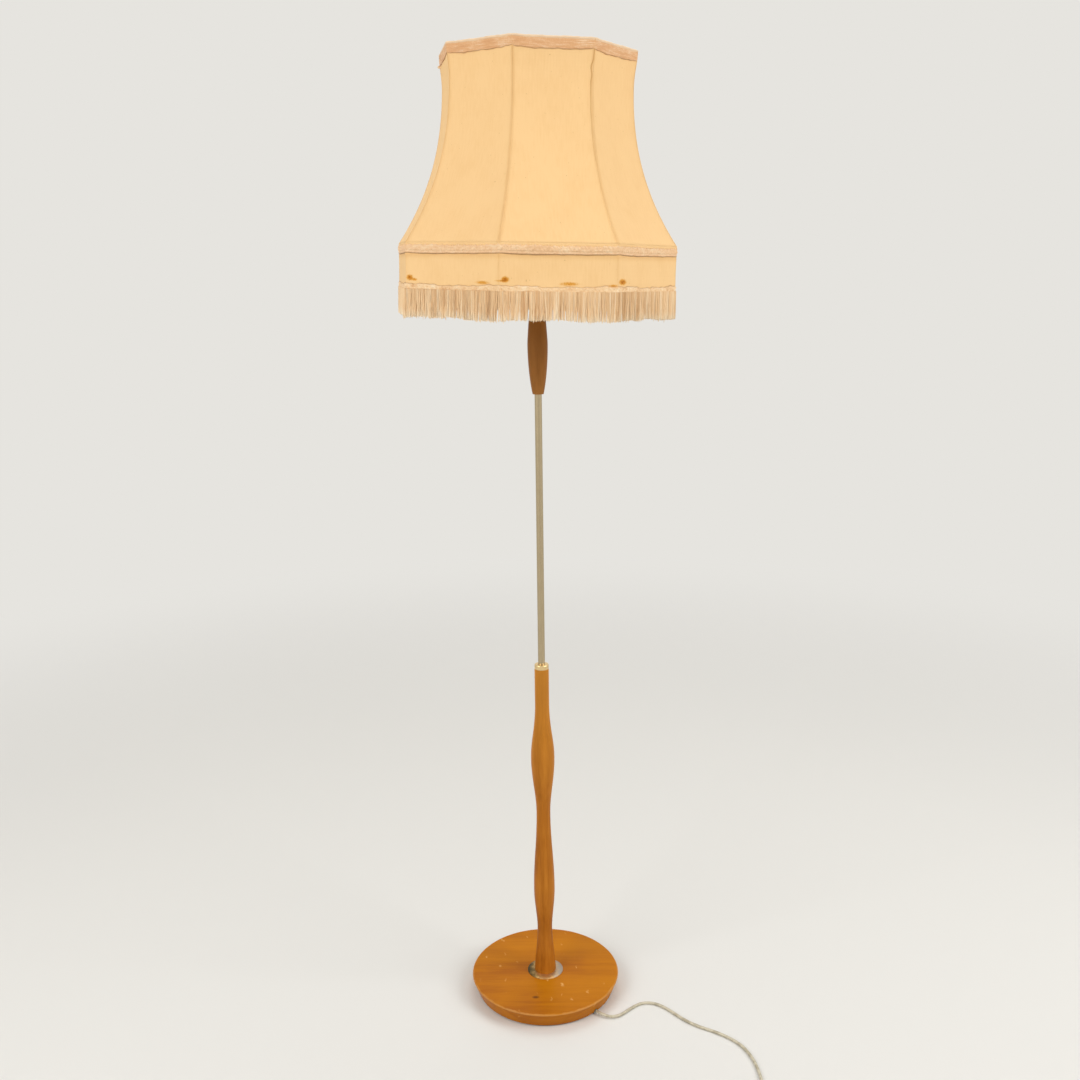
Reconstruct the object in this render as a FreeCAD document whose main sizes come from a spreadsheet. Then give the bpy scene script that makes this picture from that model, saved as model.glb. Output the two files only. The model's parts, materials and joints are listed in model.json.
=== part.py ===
import FreeCAD, Part
import math
import os

import Sketcher

# A standard lamp: a turned wooden base and column, a metal tube, a turned wooden spindle,
# a bayonet lampholder with a push-bar switch, a wire carrier and an eight-sided fabric
# shade with a fringe. Millimetres, +Z up, +X to the right, -Y towards the front. The
# origin is the centre of the base's underside, on the floor.

Vector = FreeCAD.Vector
Constraint = Sketcher.Constraint

# Every driving dimension: the cell's alias, its value and what it measures.
SIZES = (
    ("base_radius", 135.0, "wooden base, at its top rim"),
    ("base_foot_radius", 125.0, "wooden base, at its lower edge"),
    ("base_thickness", 28.0, "wooden base"),
    ("base_rim_bevel", 2.0, "bevel round the top rim"),
    ("felt_thickness", 3.0, "felt under the base"),
    ("felt_gap", 1.0, "between the felt and the cord's bush"),
    ("ballast_radius", 95.0, "iron weight in the base"),
    ("ballast_bore", 30.0, "radius of the hole in the iron weight"),
    ("ballast_thickness", 12.0, "iron weight in the base"),
    ("ballast_gap", 0.4, "between the weight and its recess"),
    ("ballast_screw_circle", 66.0, "radius on which the weight's screws stand"),
    ("screw_radius", 2.0, "shank of the weight's screws"),
    ("screw_head_radius", 4.0, "head of the weight's screws"),
    ("screw_head_height", 2.2, "head of the weight's screws"),
    ("screw_length", 20.0, "weight's screws, over all"),
    ("well_radius", 22.0, "well for the nut under the base"),
    ("well_depth", 18.0, "well for the nut, from the underside"),
    ("washer_radius", 17.0, "washer under the base"),
    ("washer_thickness", 2.0, "washer under the base"),
    ("nut_flats", 14.0, "across the flats of both nuts"),
    ("nut_height", 5.0, "nut under the base"),
    ("thread_show", 0.8, "tie tube past its nut"),
    ("fit_gap", 0.15, "between pieces that slip over each other"),
    ("running_gap", 0.05, "radial clearance of moving pins"),
    ("tie_radius", 5.0, "tie tube, outside"),
    ("tie_bore", 4.0, "tie tube, inside"),
    ("foot_plate_radius", 32.5, "metal plate under the column's foot"),
    ("foot_plate_seat", 20.0, "flat middle of that plate, radius"),
    ("foot_plate_thickness", 2.2, "metal plate, at its seat"),
    ("foot_plate_edge", 0.8, "metal plate, at its edge"),
    ("foot_radius", 19.6, "column's foot"),
    ("neck_radius", 13.4, "column's lowest neck"),
    ("neck_rise", 84.8, "from the column's foot up to its lowest neck"),
    ("swell_radius", 18.9, "column's lower swelling"),
    ("swell_rise", 80.0, "from the neck up to the lower swelling"),
    ("waist_radius", 12.4, "column's waist"),
    ("waist_rise", 152.0, "from the lower swelling up to the waist"),
    ("belly_radius", 20.9, "column's upper swelling"),
    ("belly_rise", 106.0, "from the waist up to the upper swelling"),
    ("stem_radius", 12.5, "column's straight top"),
    ("stem_rise", 100.0, "from the upper swelling up to the straight top"),
    ("stem_length", 67.0, "column's straight top"),
    ("ferrule_height", 8.0, "brass ferrule on the column"),
    ("ferrule_floor", 2.0, "floor of the ferrule's socket"),
    ("cover_radius", 6.0, "visible metal tube, outside"),
    ("cover_length", 480.0, "visible metal tube"),
    ("spindle_socket", 5.0, "depth of the tube's socket in the spindle"),
    ("spindle_end_radius", 9.2, "upper spindle, at its lower end"),
    ("spindle_radius", 16.7, "upper spindle, at its widest"),
    ("spindle_low", 81.0, "upper spindle, under its widest place"),
    ("spindle_high", 81.0, "upper spindle, over its widest place"),
    ("spindle_top_radius", 9.5, "upper spindle, at its top"),
    ("cap_radius", 11.0, "brass cap on the spindle"),
    ("cap_thickness", 2.5, "brass cap on the spindle"),
    ("lock_nut_height", 3.0, "thin nut on the spindle's cap"),
    ("holder_neck_radius", 8.2, "lampholder's threaded entry"),
    ("holder_neck_height", 8.0, "lampholder's threaded entry"),
    ("holder_dome_height", 12.5, "lampholder's lower dome"),
    ("holder_radius", 18.2, "lampholder's widest part"),
    ("holder_wall", 1.6, "lampholder's walls"),
    ("housing_height", 24.0, "lampholder's switch housing"),
    ("sleeve_radius", 13.9, "lampholder's mouth, outside"),
    ("sleeve_bore", 11.35, "lampholder's mouth, inside"),
    ("sleeve_top", 28.0, "mouth's rim above the housing"),
    ("sleeve_flange", 2.0, "thickness of the mouth's flange"),
    ("insulator_height", 14.0, "insulating block in the lampholder"),
    ("contact_spread", 5.5, "contacts, from the axis"),
    ("contact_radius", 1.9, "contact plungers"),
    ("contact_collar", 2.7, "collar of a contact plunger"),
    ("contact_travel", 2.0, "how far the bulb can be pressed"),
    ("spring_wire", 0.4, "wire of the contact springs"),
    ("switch_bar_radius", 2.4, "push bar of the switch"),
    ("switch_bar_length", 54.0, "push bar of the switch"),
    ("switch_travel", 6.0, "travel of the push bar"),
    ("switch_bar_drop", 14.0, "push bar, under the housing's top"),
    ("bulb_cap_radius", 11.0, "bayonet cap of the bulb"),
    ("bulb_cap_height", 25.0, "bayonet cap of the bulb"),
    ("bulb_pin_radius", 1.1, "bayonet pins"),
    ("bulb_pin_height", 6.8, "bayonet pins, over the contacts"),
    ("bulb_radius", 30.0, "bulb's globe"),
    ("bulb_length", 105.0, "bulb, over all"),
    ("bulb_wall", 0.8, "bulb's glass"),
    ("carrier_thickness", 1.2, "plates of the shade carrier"),
    ("carrier_wire", 1.6, "radius of the carrier's wires"),
    ("carrier_rise", 252.0, "carrier, from its foot to its hoop"),
    ("carrier_hoop_radius", 48.0, "carrier's wires, from the axis"),
    ("hoop_ledge", 5.5, "ledge of the hoop outside its lip"),
    ("hoop_lip", 5.0, "lip of the hoop above its ledge"),
    ("ring_play", 3.2, "shade's ring round the hoop's lip"),
    ("ring_width", 5.6, "shade's own ring"),
    ("ring_thickness", 1.5, "shade's own ring"),
    ("ring_lift", 1.7, "shade's ring over the ledge, at its middle"),
    ("shade_shift", 2.8, "shade, to the right of the lamp's axis"),
    ("shade_lean", 1.5, "degrees that the shade leans to the right"),
    ("shade_turn", 9.83, "degrees from +X to the middle of the first panel"),
    ("shade_rise", 55.1, "cover's top edge over the shade's own ring"),
    ("shade_top_corner", 157.0, "corner radius of the cover's top"),
    ("lip_height", 50.0, "cover, from its narrowest place up to its top"),
    ("shade_waist_corner", 152.4, "corner radius at the narrowest place"),
    ("flare_height", 235.0, "cover, from the flare's edge up to the narrowest place"),
    ("shade_flare_corner", 228.0, "corner radius of the flare's lower edge"),
    ("collar_height", 64.0, "collar, from its lower edge up to the flare"),
    ("fabric_thickness", 0.8, "cover's fabric"),
    ("lining_inset", 6.8, "lining, inside the cover's face"),
    ("lining_thickness", 0.5, "lining"),
    ("seam_gap", 0.15, "between sewn pieces"),
    ("frame_wire", 1.5, "radius of the shade's frame wires"),
    ("frame_inset", 2.8, "middle of the frame wires, inside the cover's face"),
    ("frame_bend", 8.0, "bend radius at the frame's corners"),
    ("trim_thickness", 1.25, "braid trims"),
    ("top_trim_height", 21.0, "braid round the top"),
    ("mid_trim_height", 20.0, "braid round the flare's edge"),
    ("heading_height", 12.0, "braid that carries the fringe"),
    ("fringe_length", 44.0, "hanging threads of the fringe"),
    ("fringe_thickness", 2.0, "hanging threads of the fringe"),
    ("cord_radius", 2.5, "mains cord"),
    ("cord_level", 2.6, "middle of the cord on the floor"),
    ("cord_lift", 0.3, "cord over the felt inside the base"),
    ("cord_exit_reach", 128.0, "end of the cord's bush, from the axis"),
    ("cord_azimuth", 45.0, "degrees from +X to the cord's exit, clockwise"),
    ("cord_bend", 9.0, "bend of the cord under the tie tube"),
    ("bush_length", 15.0, "rubber bush where the cord leaves"),
    ("bush_radius", 3.5, "rubber bush at its inner end"),
    ("bush_tip_radius", 3.0, "rubber bush at its tip"),
    ("channel_width", 8.0, "channel for the cord under the base"),
    ("channel_depth", 6.8, "channel for the cord in the wood"),
    ("coil_radius", 30.0, "coiled cord, at the middle of its turns"),
    ("coil_layers", 4.0, "turns of cord that lie on each other"),
    ("coil_floor", 0.8, "underside of the coiled cord"),
    ("tie_band", 0.6, "band round the coil, thickness"),
    ("tie_width", 8.0, "band round the coil, width"),
    ("plug_width", 50.0, "plug"),
    ("plug_length", 50.0, "plug, from its cord side"),
    ("plug_height", 20.0, "plug, without its pins"),
    ("plug_corner", 12.0, "corner radius of the plug"),
    ("pin_width", 6.35, "live and neutral pins"),
    ("pin_thickness", 4.0, "plug's pins"),
    ("pin_length", 17.7, "live and neutral pins"),
    ("pin_spread", 11.1, "live and neutral pins, from the plug's middle"),
    ("earth_length", 22.7, "earth pin"),
    ("earth_width", 8.0, "earth pin"),
    ("earth_distance", 22.2, "earth pin, from the line of the other two"),
)

# The cord's route on the floor, from its bush to the coil, chosen by hand.
CORD_ROUTE = (
    (90.51, -90.51, 5.8),
    (106.0, -106.0, 5.2),
    (130.0, -103.0, 3.5),
    (149.0, -83.0, 2.6),
    (174.0, -63.0, 2.6),
    (200.0, -66.0, 2.6),
    (222.0, -86.0, 2.6),
    (241.0, -110.0, 2.6),
    (264.0, -131.0, 2.6),
    (301.0, -151.0, 2.6),
    (332.0, -178.0, 2.6),
    (347.0, -213.0, 2.6),
    (352.0, -250.0, 2.7),
    (352.0, -285.0, 3.0),
    (352.0, -316.0, 3.3),
)
COIL_CENTRE = (319.5, -335.0)
# The short stretch from the coil to the plug.
TAIL_ROUTE = (
    (352.0, -354.0, 8.4),
    (352.0, -378.7, 8.4),
)
PLUG_MIDDLE = (352.0, -403.0)
PLUG_CORD_LEVEL = 8.4

SIDES = 8
HALF_SIDE = math.radians(180.0 / SIDES)
COS_HALF = math.cos(HALF_SIDE)
TAN_HALF = math.tan(HALF_SIDE)
CIRCLE_HANDLE = 0.5523          # handle length of a quarter circle drawn as a cubic curve

doc = FreeCAD.newDocument("standard_lamp")
sheet = doc.addObject("Spreadsheet::Sheet", "Dims")
for row, (alias, number, meaning) in enumerate(SIZES, start=1):
    sheet.set("A%d" % row, meaning)
    sheet.set("B%d" % row, str(number))
    sheet.setAlias("B%d" % row, alias)
doc.recompute()


class Size:
    """A number that keeps the spreadsheet formula it comes from."""

    def __init__(self, value, formula):
        self.value = float(value)
        self.formula = formula

    def __add__(self, other):
        other = as_size(other)
        return Size(self.value + other.value, "(%s + %s)" % (self.formula, other.formula))

    def __sub__(self, other):
        other = as_size(other)
        return Size(self.value - other.value, "(%s - %s)" % (self.formula, other.formula))

    def __mul__(self, other):
        other = as_size(other)
        return Size(self.value * other.value, "(%s * %s)" % (self.formula, other.formula))

    def __truediv__(self, other):
        other = as_size(other)
        return Size(self.value / other.value, "(%s / %s)" % (self.formula, other.formula))

    def __neg__(self):
        return Size(-self.value, "(0 - %s)" % self.formula)

    def __radd__(self, other):
        return as_size(other) + self

    def __rsub__(self, other):
        return as_size(other) - self

    def __rmul__(self, other):
        return as_size(other) * self


def as_size(number):
    """Turn a plain number into a Size; a Size stays as it is."""
    if isinstance(number, Size):
        return number
    return Size(number, "%.9f" % number)


class Dimensions:
    """The spreadsheet's cells as attributes, each a Size."""

    def __getattr__(self, alias):
        return Size(sheet.get(alias), "Dims." + alias)


d = Dimensions()

# Levels and radii that several pieces share.
base_top = d.felt_thickness + d.base_thickness
well_top = d.felt_thickness + d.well_depth
exit_level = d.felt_thickness + d.cord_radius + d.cord_lift
nut_bottom = well_top - d.washer_thickness - d.nut_height
tie_bottom = nut_bottom - d.thread_show
sleeve_clearance = d.tie_radius + d.fit_gap
column_bottom = base_top + d.foot_plate_thickness
neck_level = column_bottom + d.neck_rise
swell_level = neck_level + d.swell_rise
waist_level = swell_level + d.waist_rise
belly_level = waist_level + d.belly_rise
stem_start = belly_level + d.stem_rise
column_top = stem_start + d.stem_length
ferrule_top = column_top + d.ferrule_height
cover_bottom = column_top + d.ferrule_floor
cover_top = cover_bottom + d.cover_length
spindle_bottom = cover_top - d.spindle_socket
spindle_widest = spindle_bottom + d.spindle_low
spindle_top = spindle_widest + d.spindle_high
holder_bottom = spindle_top + d.cap_thickness + d.lock_nut_height
neck_top = holder_bottom + d.holder_neck_height
dome_top = neck_top + d.holder_dome_height
housing_top = dome_top + d.housing_height
sleeve_rim = housing_top + d.sleeve_top
housing_bore = d.holder_radius - d.holder_wall
spigot_radius = housing_bore - d.fit_gap
flange_top = housing_top - d.holder_wall
flange_bottom = flange_top - d.sleeve_flange
insulator_bottom = flange_bottom - 2.0
insulator_top = insulator_bottom + d.insulator_height
bar_level = housing_top - d.switch_bar_drop
collar_seat = insulator_bottom + 7.0
terminal_post_radius = as_size(2.2)
bulb_seat = insulator_top + 3.5
pin_level = bulb_seat + d.bulb_pin_height
globe_middle = bulb_seat + d.bulb_length - d.bulb_radius
hoop_bottom = housing_top + d.carrier_rise
ledge_top = hoop_bottom + d.carrier_thickness
lip_radius = d.carrier_hoop_radius - 2.0
lip_outside = lip_radius + d.carrier_thickness
ring_bore = lip_outside + d.ring_play
ring_outside = ring_bore + d.ring_width
ring_level = ledge_top + d.ring_lift
shade_top = ring_level + d.shade_rise
shade_waist = shade_top - d.lip_height
shade_flare = shade_waist - d.flare_height
shade_hem = shade_flare - d.collar_height
lean = math.radians(d.shade_lean.value)


# ---------------------------------------------------------------- drawing helpers

def new_body(label, turn=0.0):
    """A body with its own name, turned about the lamp's axis by some degrees."""
    body = doc.addObject("PartDesign::Body", label)
    body.Label = label
    body.Placement = FreeCAD.Placement(Vector(0, 0, 0), FreeCAD.Rotation(Vector(0, 0, 1), turn))
    nodes.append(body)
    return body


def new_shade_body(label, turn=0.0):
    """A body of the shade: heights from its own ring, leaning and shifted as the shade is."""
    body = new_body(label)
    turned = FreeCAD.Rotation(Vector(0, 0, 1), d.shade_turn.value + turn)
    leaning = FreeCAD.Rotation(Vector(0, 1, 0), d.shade_lean.value)
    body.Placement = FreeCAD.Placement(Vector(0, 0, 0), leaning * turned)
    body.setExpression("Placement.Base.x", d.shade_shift.formula)
    body.setExpression("Placement.Base.z", ring_level.formula)
    return body


def over_ring(level):
    """A height above the floor as a height above the shade's own ring."""
    return as_size(level) - ring_level


def new_sketch(body, role, offset=None):
    """A sketch on one of the body's own origin planes, moved along its normal if asked."""
    sketch = body.newObject("Sketcher::SketchObject", body.Label + "_sketch")
    plane = [item for item in body.Origin.OriginFeatures if item.Role == role][0]
    sketch.AttachmentSupport = [(plane, "")]
    sketch.MapMode = "FlatFace"
    if offset is not None:
        sketch.AttachmentOffset = FreeCAD.Placement(Vector(0, 0, offset.value), FreeCAD.Rotation())
        sketch.setExpression("AttachmentOffset.Base.z", offset.formula)
    return sketch


def hold(sketch, geometry, point, x, y):
    """Pin a point of a sketch to two sizes."""
    for kind, axis, size in (("DistanceX", -2, as_size(x)), ("DistanceY", -1, as_size(y))):
        if size.formula == "0.000000000":
            sketch.addConstraint(Constraint("PointOnObject", geometry, point, axis))
            continue
        index = sketch.addConstraint(Constraint(kind, -1, 1, geometry, point, size.value))
        if "Dims" in size.formula:
            sketch.setExpression("Constraints[%d]" % index, size.formula)


def point_at(x, y):
    return Vector(as_size(x).value, as_size(y).value, 0)


class Outline:
    """A chain of lines and cubic curves in a sketch, every corner held by sizes."""

    def __init__(self, sketch, x, y):
        self.sketch = sketch
        self.start = (x, y)
        self.here = (x, y)
        self.pieces = []

    def add(self, geometry, end):
        index = self.sketch.addGeometry(geometry, False)
        if self.pieces:
            self.sketch.addConstraint(Constraint("Coincident", self.pieces[-1], 2, index, 1))
        else:
            hold(self.sketch, index, 1, *self.start)
        self.pieces.append(index)
        self.here = end
        return index

    def line(self, x, y):
        """A straight edge to (x, y)."""
        index = self.add(Part.LineSegment(point_at(*self.here), point_at(x, y)), (x, y))
        hold(self.sketch, index, 2, x, y)
        return self

    def curve(self, first, second, end):
        """A cubic curve to end, with its two handles."""
        spline = Part.BSplineCurve()
        poles = [point_at(*place) for place in (self.here, first, second, end)]
        spline.buildFromPolesMultsKnots(poles, (4, 4), (0.0, 1.0), False, 3)
        index = self.add(spline, end)
        inner = self.sketch.GeometryCount
        self.sketch.exposeInternalGeometry(index)
        hold(self.sketch, index, 2, *end)
        hold(self.sketch, inner + 1, 3, *first)
        hold(self.sketch, inner + 2, 3, *second)
        return self

    def ease(self, x, y, leave=0.4, arrive=0.4):
        """A curve along y that starts and ends parallel to the y axis."""
        here_x, here_y = self.here
        rise = as_size(y) - here_y
        return self.curve((here_x, here_y + rise * leave), (x, as_size(y) - rise * arrive), (x, y))

    def close(self):
        """The edge back to the start."""
        index = self.add(Part.LineSegment(point_at(*self.here), point_at(*self.start)), self.start)
        self.sketch.addConstraint(Constraint("Coincident", index, 2, self.pieces[0], 1))
        return self


def circle(sketch, x, y, radius):
    """A circle held by its middle and radius."""
    radius = as_size(radius)
    index = sketch.addGeometry(Part.Circle(point_at(x, y), Vector(0, 0, 1), radius.value), False)
    hold(sketch, index, 3, x, y)
    rule = sketch.addConstraint(Constraint("Radius", index, radius.value))
    if "Dims" in radius.formula:
        sketch.setExpression("Constraints[%d]" % rule, radius.formula)


def box(sketch, low_x, low_y, high_x, high_y):
    """A rectangle from its low to its high corner."""
    outline = Outline(sketch, low_x, low_y)
    outline.line(high_x, low_y).line(high_x, high_y).line(low_x, high_y).close()


def octagon(sketch, apothem):
    """An octagon whose sides lie at the apothem, the first side across the sketch's x axis."""
    corners = [math.radians((side + 0.5) * 360.0 / SIDES) for side in range(SIDES)]
    places = [(apothem * (math.cos(angle) / COS_HALF), apothem * (math.sin(angle) / COS_HALF))
              for angle in corners]
    outline = Outline(sketch, *places[0])
    for place in places[1:]:
        outline.line(*place)
    outline.close()


def feature(body, kind, name, sketch, **settings):
    """A PartDesign feature made from a sketch, set as the body's tip."""
    item = body.newObject("PartDesign::" + kind, body.Label + "_" + name)
    item.Profile = sketch
    for key, value in settings.items():
        if isinstance(value, Size):
            setattr(item, key, value.value)
            item.setExpression(key, value.formula)
        else:
            setattr(item, key, value)
    body.Tip = item
    return item


def revolve(body, sketch, kind="Revolution"):
    """Turn a sketch through a full circle about its vertical axis."""
    return feature(body, kind, "turned", sketch, ReferenceAxis=(sketch, ["V_Axis"]), Angle=360)


def pad(body, sketch, length):
    """Raise a sketch along its normal."""
    return feature(body, "Pad", "pad", sketch, Length=length)


def cut_through(body, sketch):
    """Cut a sketch right through, both ways."""
    return feature(body, "Pocket", "cut", sketch, Type="ThroughAll", Midplane=True)


def pipe(body, section, path, edges):
    """Carry a section along the edges of a path sketch."""
    names = ["Edge%d" % (index + 1) for index in range(edges)]
    return feature(body, "AdditivePipe", "pipe", section, Spine=(path, names))


def around(body, originals, count, role="Z_Axis"):
    """Repeat features round the body's own axis."""
    axis = [item for item in body.Origin.OriginFeatures if item.Role == role][0]
    pattern = body.newObject("PartDesign::PolarPattern", body.Label + "_pattern")
    pattern.Originals = originals
    pattern.Axis = (axis, [""])
    pattern.Angle = 360
    pattern.Occurrences = count
    body.Tip = pattern
    return pattern


def turned(label, outline_of, turn=0.0):
    """A turned piece: outline_of draws its half section as (radius, height)."""
    body = new_body(label, turn)
    sketch = new_sketch(body, "XZ_Plane")
    outline_of(sketch)
    revolve(body, sketch)
    return body


def ring_section(inner, bottom, outer, top):
    """The half section of a plain ring or tube."""
    return lambda sketch: box(sketch, inner, bottom, outer, top)


def hexagon_prism(label, flats, bottom, height, bore):
    """A nut: a hexagon with a hole, its outer corners chamfered."""
    body = new_body(label)
    sketch = new_sketch(body, "XY_Plane", bottom)
    corner = flats / math.sqrt(3.0)
    angles = [math.radians(60.0 * side) for side in range(6)]
    places = [(corner * math.cos(angle), corner * math.sin(angle)) for angle in angles]
    outline = Outline(sketch, *places[0])
    for place in places[1:]:
        outline.line(*place)
    outline.close()
    circle(sketch, 0, 0, bore)
    pad(body, sketch, height)
    bevel = new_sketch(body, "XZ_Plane")
    reach = corner + 1.0
    Outline(bevel, flats / 2, bottom).line(reach, bottom).line(
        reach, bottom + (reach - flats / 2) * 0.5).close()
    revolve(body, bevel, "Groove")
    return body


nodes = []


# ---------------------------------------------------------------- base

def make_base_disc():
    """Turned base: tapering side, bevelled rim, recess for the weight, well for the nut."""
    recess_top = d.felt_thickness + d.ballast_thickness
    recess = d.ballast_radius + d.ballast_gap
    body = new_body("base_disc")
    sketch = new_sketch(body, "XZ_Plane")
    outline = Outline(sketch, sleeve_clearance, well_top)
    outline.line(d.well_radius, well_top).line(d.well_radius, recess_top)
    outline.line(recess, recess_top).line(recess, d.felt_thickness)
    outline.line(d.base_foot_radius, d.felt_thickness)
    outline.line(d.base_radius, base_top - d.base_rim_bevel)
    outline.line(d.base_radius - d.base_rim_bevel, base_top)
    outline.line(sleeve_clearance, base_top).close()
    revolve(body, sketch)
    holes = new_sketch(body, "XY_Plane", recess_top)
    for number in range(3):
        angle = math.radians(120.0 * number + 15.0)
        circle(holes, d.ballast_screw_circle * math.cos(angle),
               d.ballast_screw_circle * math.sin(angle), d.screw_radius + d.running_gap)
    depth = d.screw_length - d.ballast_thickness + 0.5
    feature(body, "Pocket", "pilot_holes", holes, Length=depth, Reversed=True)
    angle = -d.cord_azimuth.value
    channel = new_sketch(body, "XY_Plane", d.felt_thickness)
    slot_corners(channel, 0, d.base_radius + 5, angle)
    feature(body, "Pocket", "cord_channel", channel, Length=d.channel_depth, Reversed=True)
    return body


def slot_corners(sketch, start, end, angle):
    """A straight slot of the cord channel's width from the axis outwards, at an angle."""
    cosine = math.cos(math.radians(angle))
    sine = math.sin(math.radians(angle))
    half = d.channel_width / 2

    def place(along, across):
        return (along * cosine - across * sine, along * sine + across * cosine)

    outline = Outline(sketch, *place(as_size(start), -half))
    outline.line(*place(as_size(end), -half)).line(*place(as_size(end), half))
    outline.line(*place(as_size(start), half)).close()


def make_ballast():
    """Cast-iron weight: a thick ring with a slot for the cord and counterbored holes."""
    body = new_body("base_ballast")
    bottom = d.felt_thickness
    top = d.felt_thickness + d.ballast_thickness
    sketch = new_sketch(body, "XZ_Plane")
    edge = 1.5
    outline = Outline(sketch, d.ballast_bore, bottom)
    outline.line(d.ballast_radius - edge, bottom).line(d.ballast_radius, bottom + edge)
    outline.line(d.ballast_radius, top).line(d.ballast_bore, top).close()
    revolve(body, sketch)
    slot = new_sketch(body, "XY_Plane")
    slot_corners(slot, 0, d.ballast_radius + 5, -d.cord_azimuth.value)
    cut_through(body, slot)
    for number in range(3):
        angle = 120.0 * number + 15.0
        hole = new_sketch(body, "XY_Plane", bottom)
        place = (d.ballast_screw_circle * math.cos(math.radians(angle)),
                 d.ballast_screw_circle * math.sin(math.radians(angle)))
        circle(hole, *place, d.screw_radius + d.fit_gap)
        cut_through(body, hole)
        sink = new_sketch(body, "XY_Plane", bottom)
        circle(sink, *place, d.screw_head_radius + d.fit_gap)
        feature(body, "Pocket", "counterbore", sink, Length=d.screw_head_height, Reversed=True)
    return body


def make_ballast_screws():
    """Three screws, heads up against the weight and points in the wood."""
    body = new_body("ballast_screws", 15.0)
    bottom = d.felt_thickness + 0.1
    head = d.screw_head_height - 0.1
    middle = d.ballast_screw_circle
    heads = new_sketch(body, "XY_Plane", bottom)
    circle(heads, middle, 0, d.screw_head_radius)
    head_pad = pad(body, heads, head)
    shank = new_sketch(body, "XY_Plane", bottom)
    circle(shank, middle, 0, d.screw_radius)
    shank_pad = pad(body, shank, d.screw_length - 0.1)
    around(body, [head_pad, shank_pad], 3)
    return body


def make_felt():
    """Felt disc glued under the base, over the weight, the nut and the cord."""
    body = new_body("base_felt")
    sketch = new_sketch(body, "XY_Plane")
    circle(sketch, 0, 0, d.cord_exit_reach - d.bush_length - d.felt_gap)
    pad(body, sketch, d.felt_thickness)


def make_bush():
    """Tapered rubber bush round the cord at the base's edge."""
    body = new_body("cord_bush", -d.cord_azimuth.value)
    inner_end = d.cord_exit_reach - d.bush_length
    sketch = new_sketch(body, "XZ_Plane")
    bore = d.cord_radius + d.running_gap
    outline = Outline(sketch, inner_end, exit_level + bore)
    outline.line(d.cord_exit_reach, exit_level + bore)
    outline.line(d.cord_exit_reach, exit_level + d.bush_tip_radius)
    outline.line(inner_end, exit_level + d.bush_radius).close()
    axis = sketch.addGeometry(Part.LineSegment(
        point_at(inner_end, exit_level), point_at(d.cord_exit_reach, exit_level)), True)
    hold(sketch, axis, 1, inner_end, exit_level)
    hold(sketch, axis, 2, d.cord_exit_reach, exit_level)
    feature(body, "Revolution", "turned", sketch, ReferenceAxis=(sketch, ["Axis0"]), Angle=360)
    return body


def make_lamp_flex():
    """The flex inside the lamp: down the tie tube, round under it and out to the edge."""
    body = new_body("lamp_flex", -d.cord_azimuth.value)
    path = new_sketch(body, "XZ_Plane")
    level = exit_level
    bend = d.cord_bend
    handle = bend * (1 - CIRCLE_HANDLE)
    outline = Outline(path, d.cord_exit_reach, level)
    outline.line(bend, level)
    outline.curve((handle, level), (0, level + handle), (0, level + bend))
    outline.line(0, neck_top + 7.0)
    section = new_sketch(body, "YZ_Plane", d.cord_exit_reach)
    circle(section, 0, level, d.cord_radius)
    pipe(body, section, path, 3)
    return body


def make_base():
    make_base_disc()
    make_ballast()
    make_ballast_screws()
    make_felt()
    turned("base_washer", ring_section(sleeve_clearance, well_top - d.washer_thickness,
                                       d.washer_radius, well_top))
    hexagon_prism("base_nut", d.nut_flats, nut_bottom, d.nut_height, d.tie_radius + d.running_gap)
    make_bush()
    make_lamp_flex()


# ---------------------------------------------------------------- column

def foot_plate_section(sketch):
    """A flat seat for the column, then a gently domed slope to a thin edge."""
    top = base_top + d.foot_plate_thickness
    rim = base_top + d.foot_plate_edge
    outline = Outline(sketch, sleeve_clearance, base_top)
    outline.line(d.foot_plate_radius, base_top).line(d.foot_plate_radius, rim)
    outline.curve((d.foot_plate_radius - 4, top), (d.foot_plate_seat + 5, top),
                  (d.foot_plate_seat, top))
    outline.line(sleeve_clearance, top).close()


def column_section(sketch):
    """The turned column: foot, neck, swelling, waist, belly and straight stem."""
    foot_edge = column_bottom + 2.0
    outline = Outline(sketch, sleeve_clearance, column_bottom)
    outline.line(d.foot_radius, column_bottom).line(d.foot_radius, foot_edge)
    reach = neck_level - foot_edge
    outline.curve((d.foot_radius - 1.4, foot_edge + reach * 0.32),
                  (d.neck_radius, neck_level - reach * 0.3), (d.neck_radius, neck_level))
    outline.ease(d.swell_radius, swell_level, 0.32, 0.36)
    outline.ease(d.waist_radius, waist_level, 0.4, 0.4)
    outline.ease(d.belly_radius, belly_level, 0.34, 0.4)
    outline.ease(d.stem_radius, stem_start, 0.34, 0.44)
    outline.line(d.stem_radius, column_top - 1.5).line(d.stem_radius - 0.6, column_top)
    outline.line(sleeve_clearance, column_top).close()


def ferrule_section(sketch):
    """A cup on the column's end that holds the metal tube."""
    socket = d.cover_radius + d.running_gap
    radius = d.stem_radius - 0.1
    round_off = 1.5
    outline = Outline(sketch, sleeve_clearance, column_top)
    outline.line(radius, column_top).line(radius, ferrule_top - round_off)
    outline.curve((radius, ferrule_top - round_off * 0.4), (radius - round_off * 0.6, ferrule_top),
                  (radius - round_off, ferrule_top))
    outline.line(socket, ferrule_top).line(socket, cover_bottom)
    outline.line(sleeve_clearance, cover_bottom).close()


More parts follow.
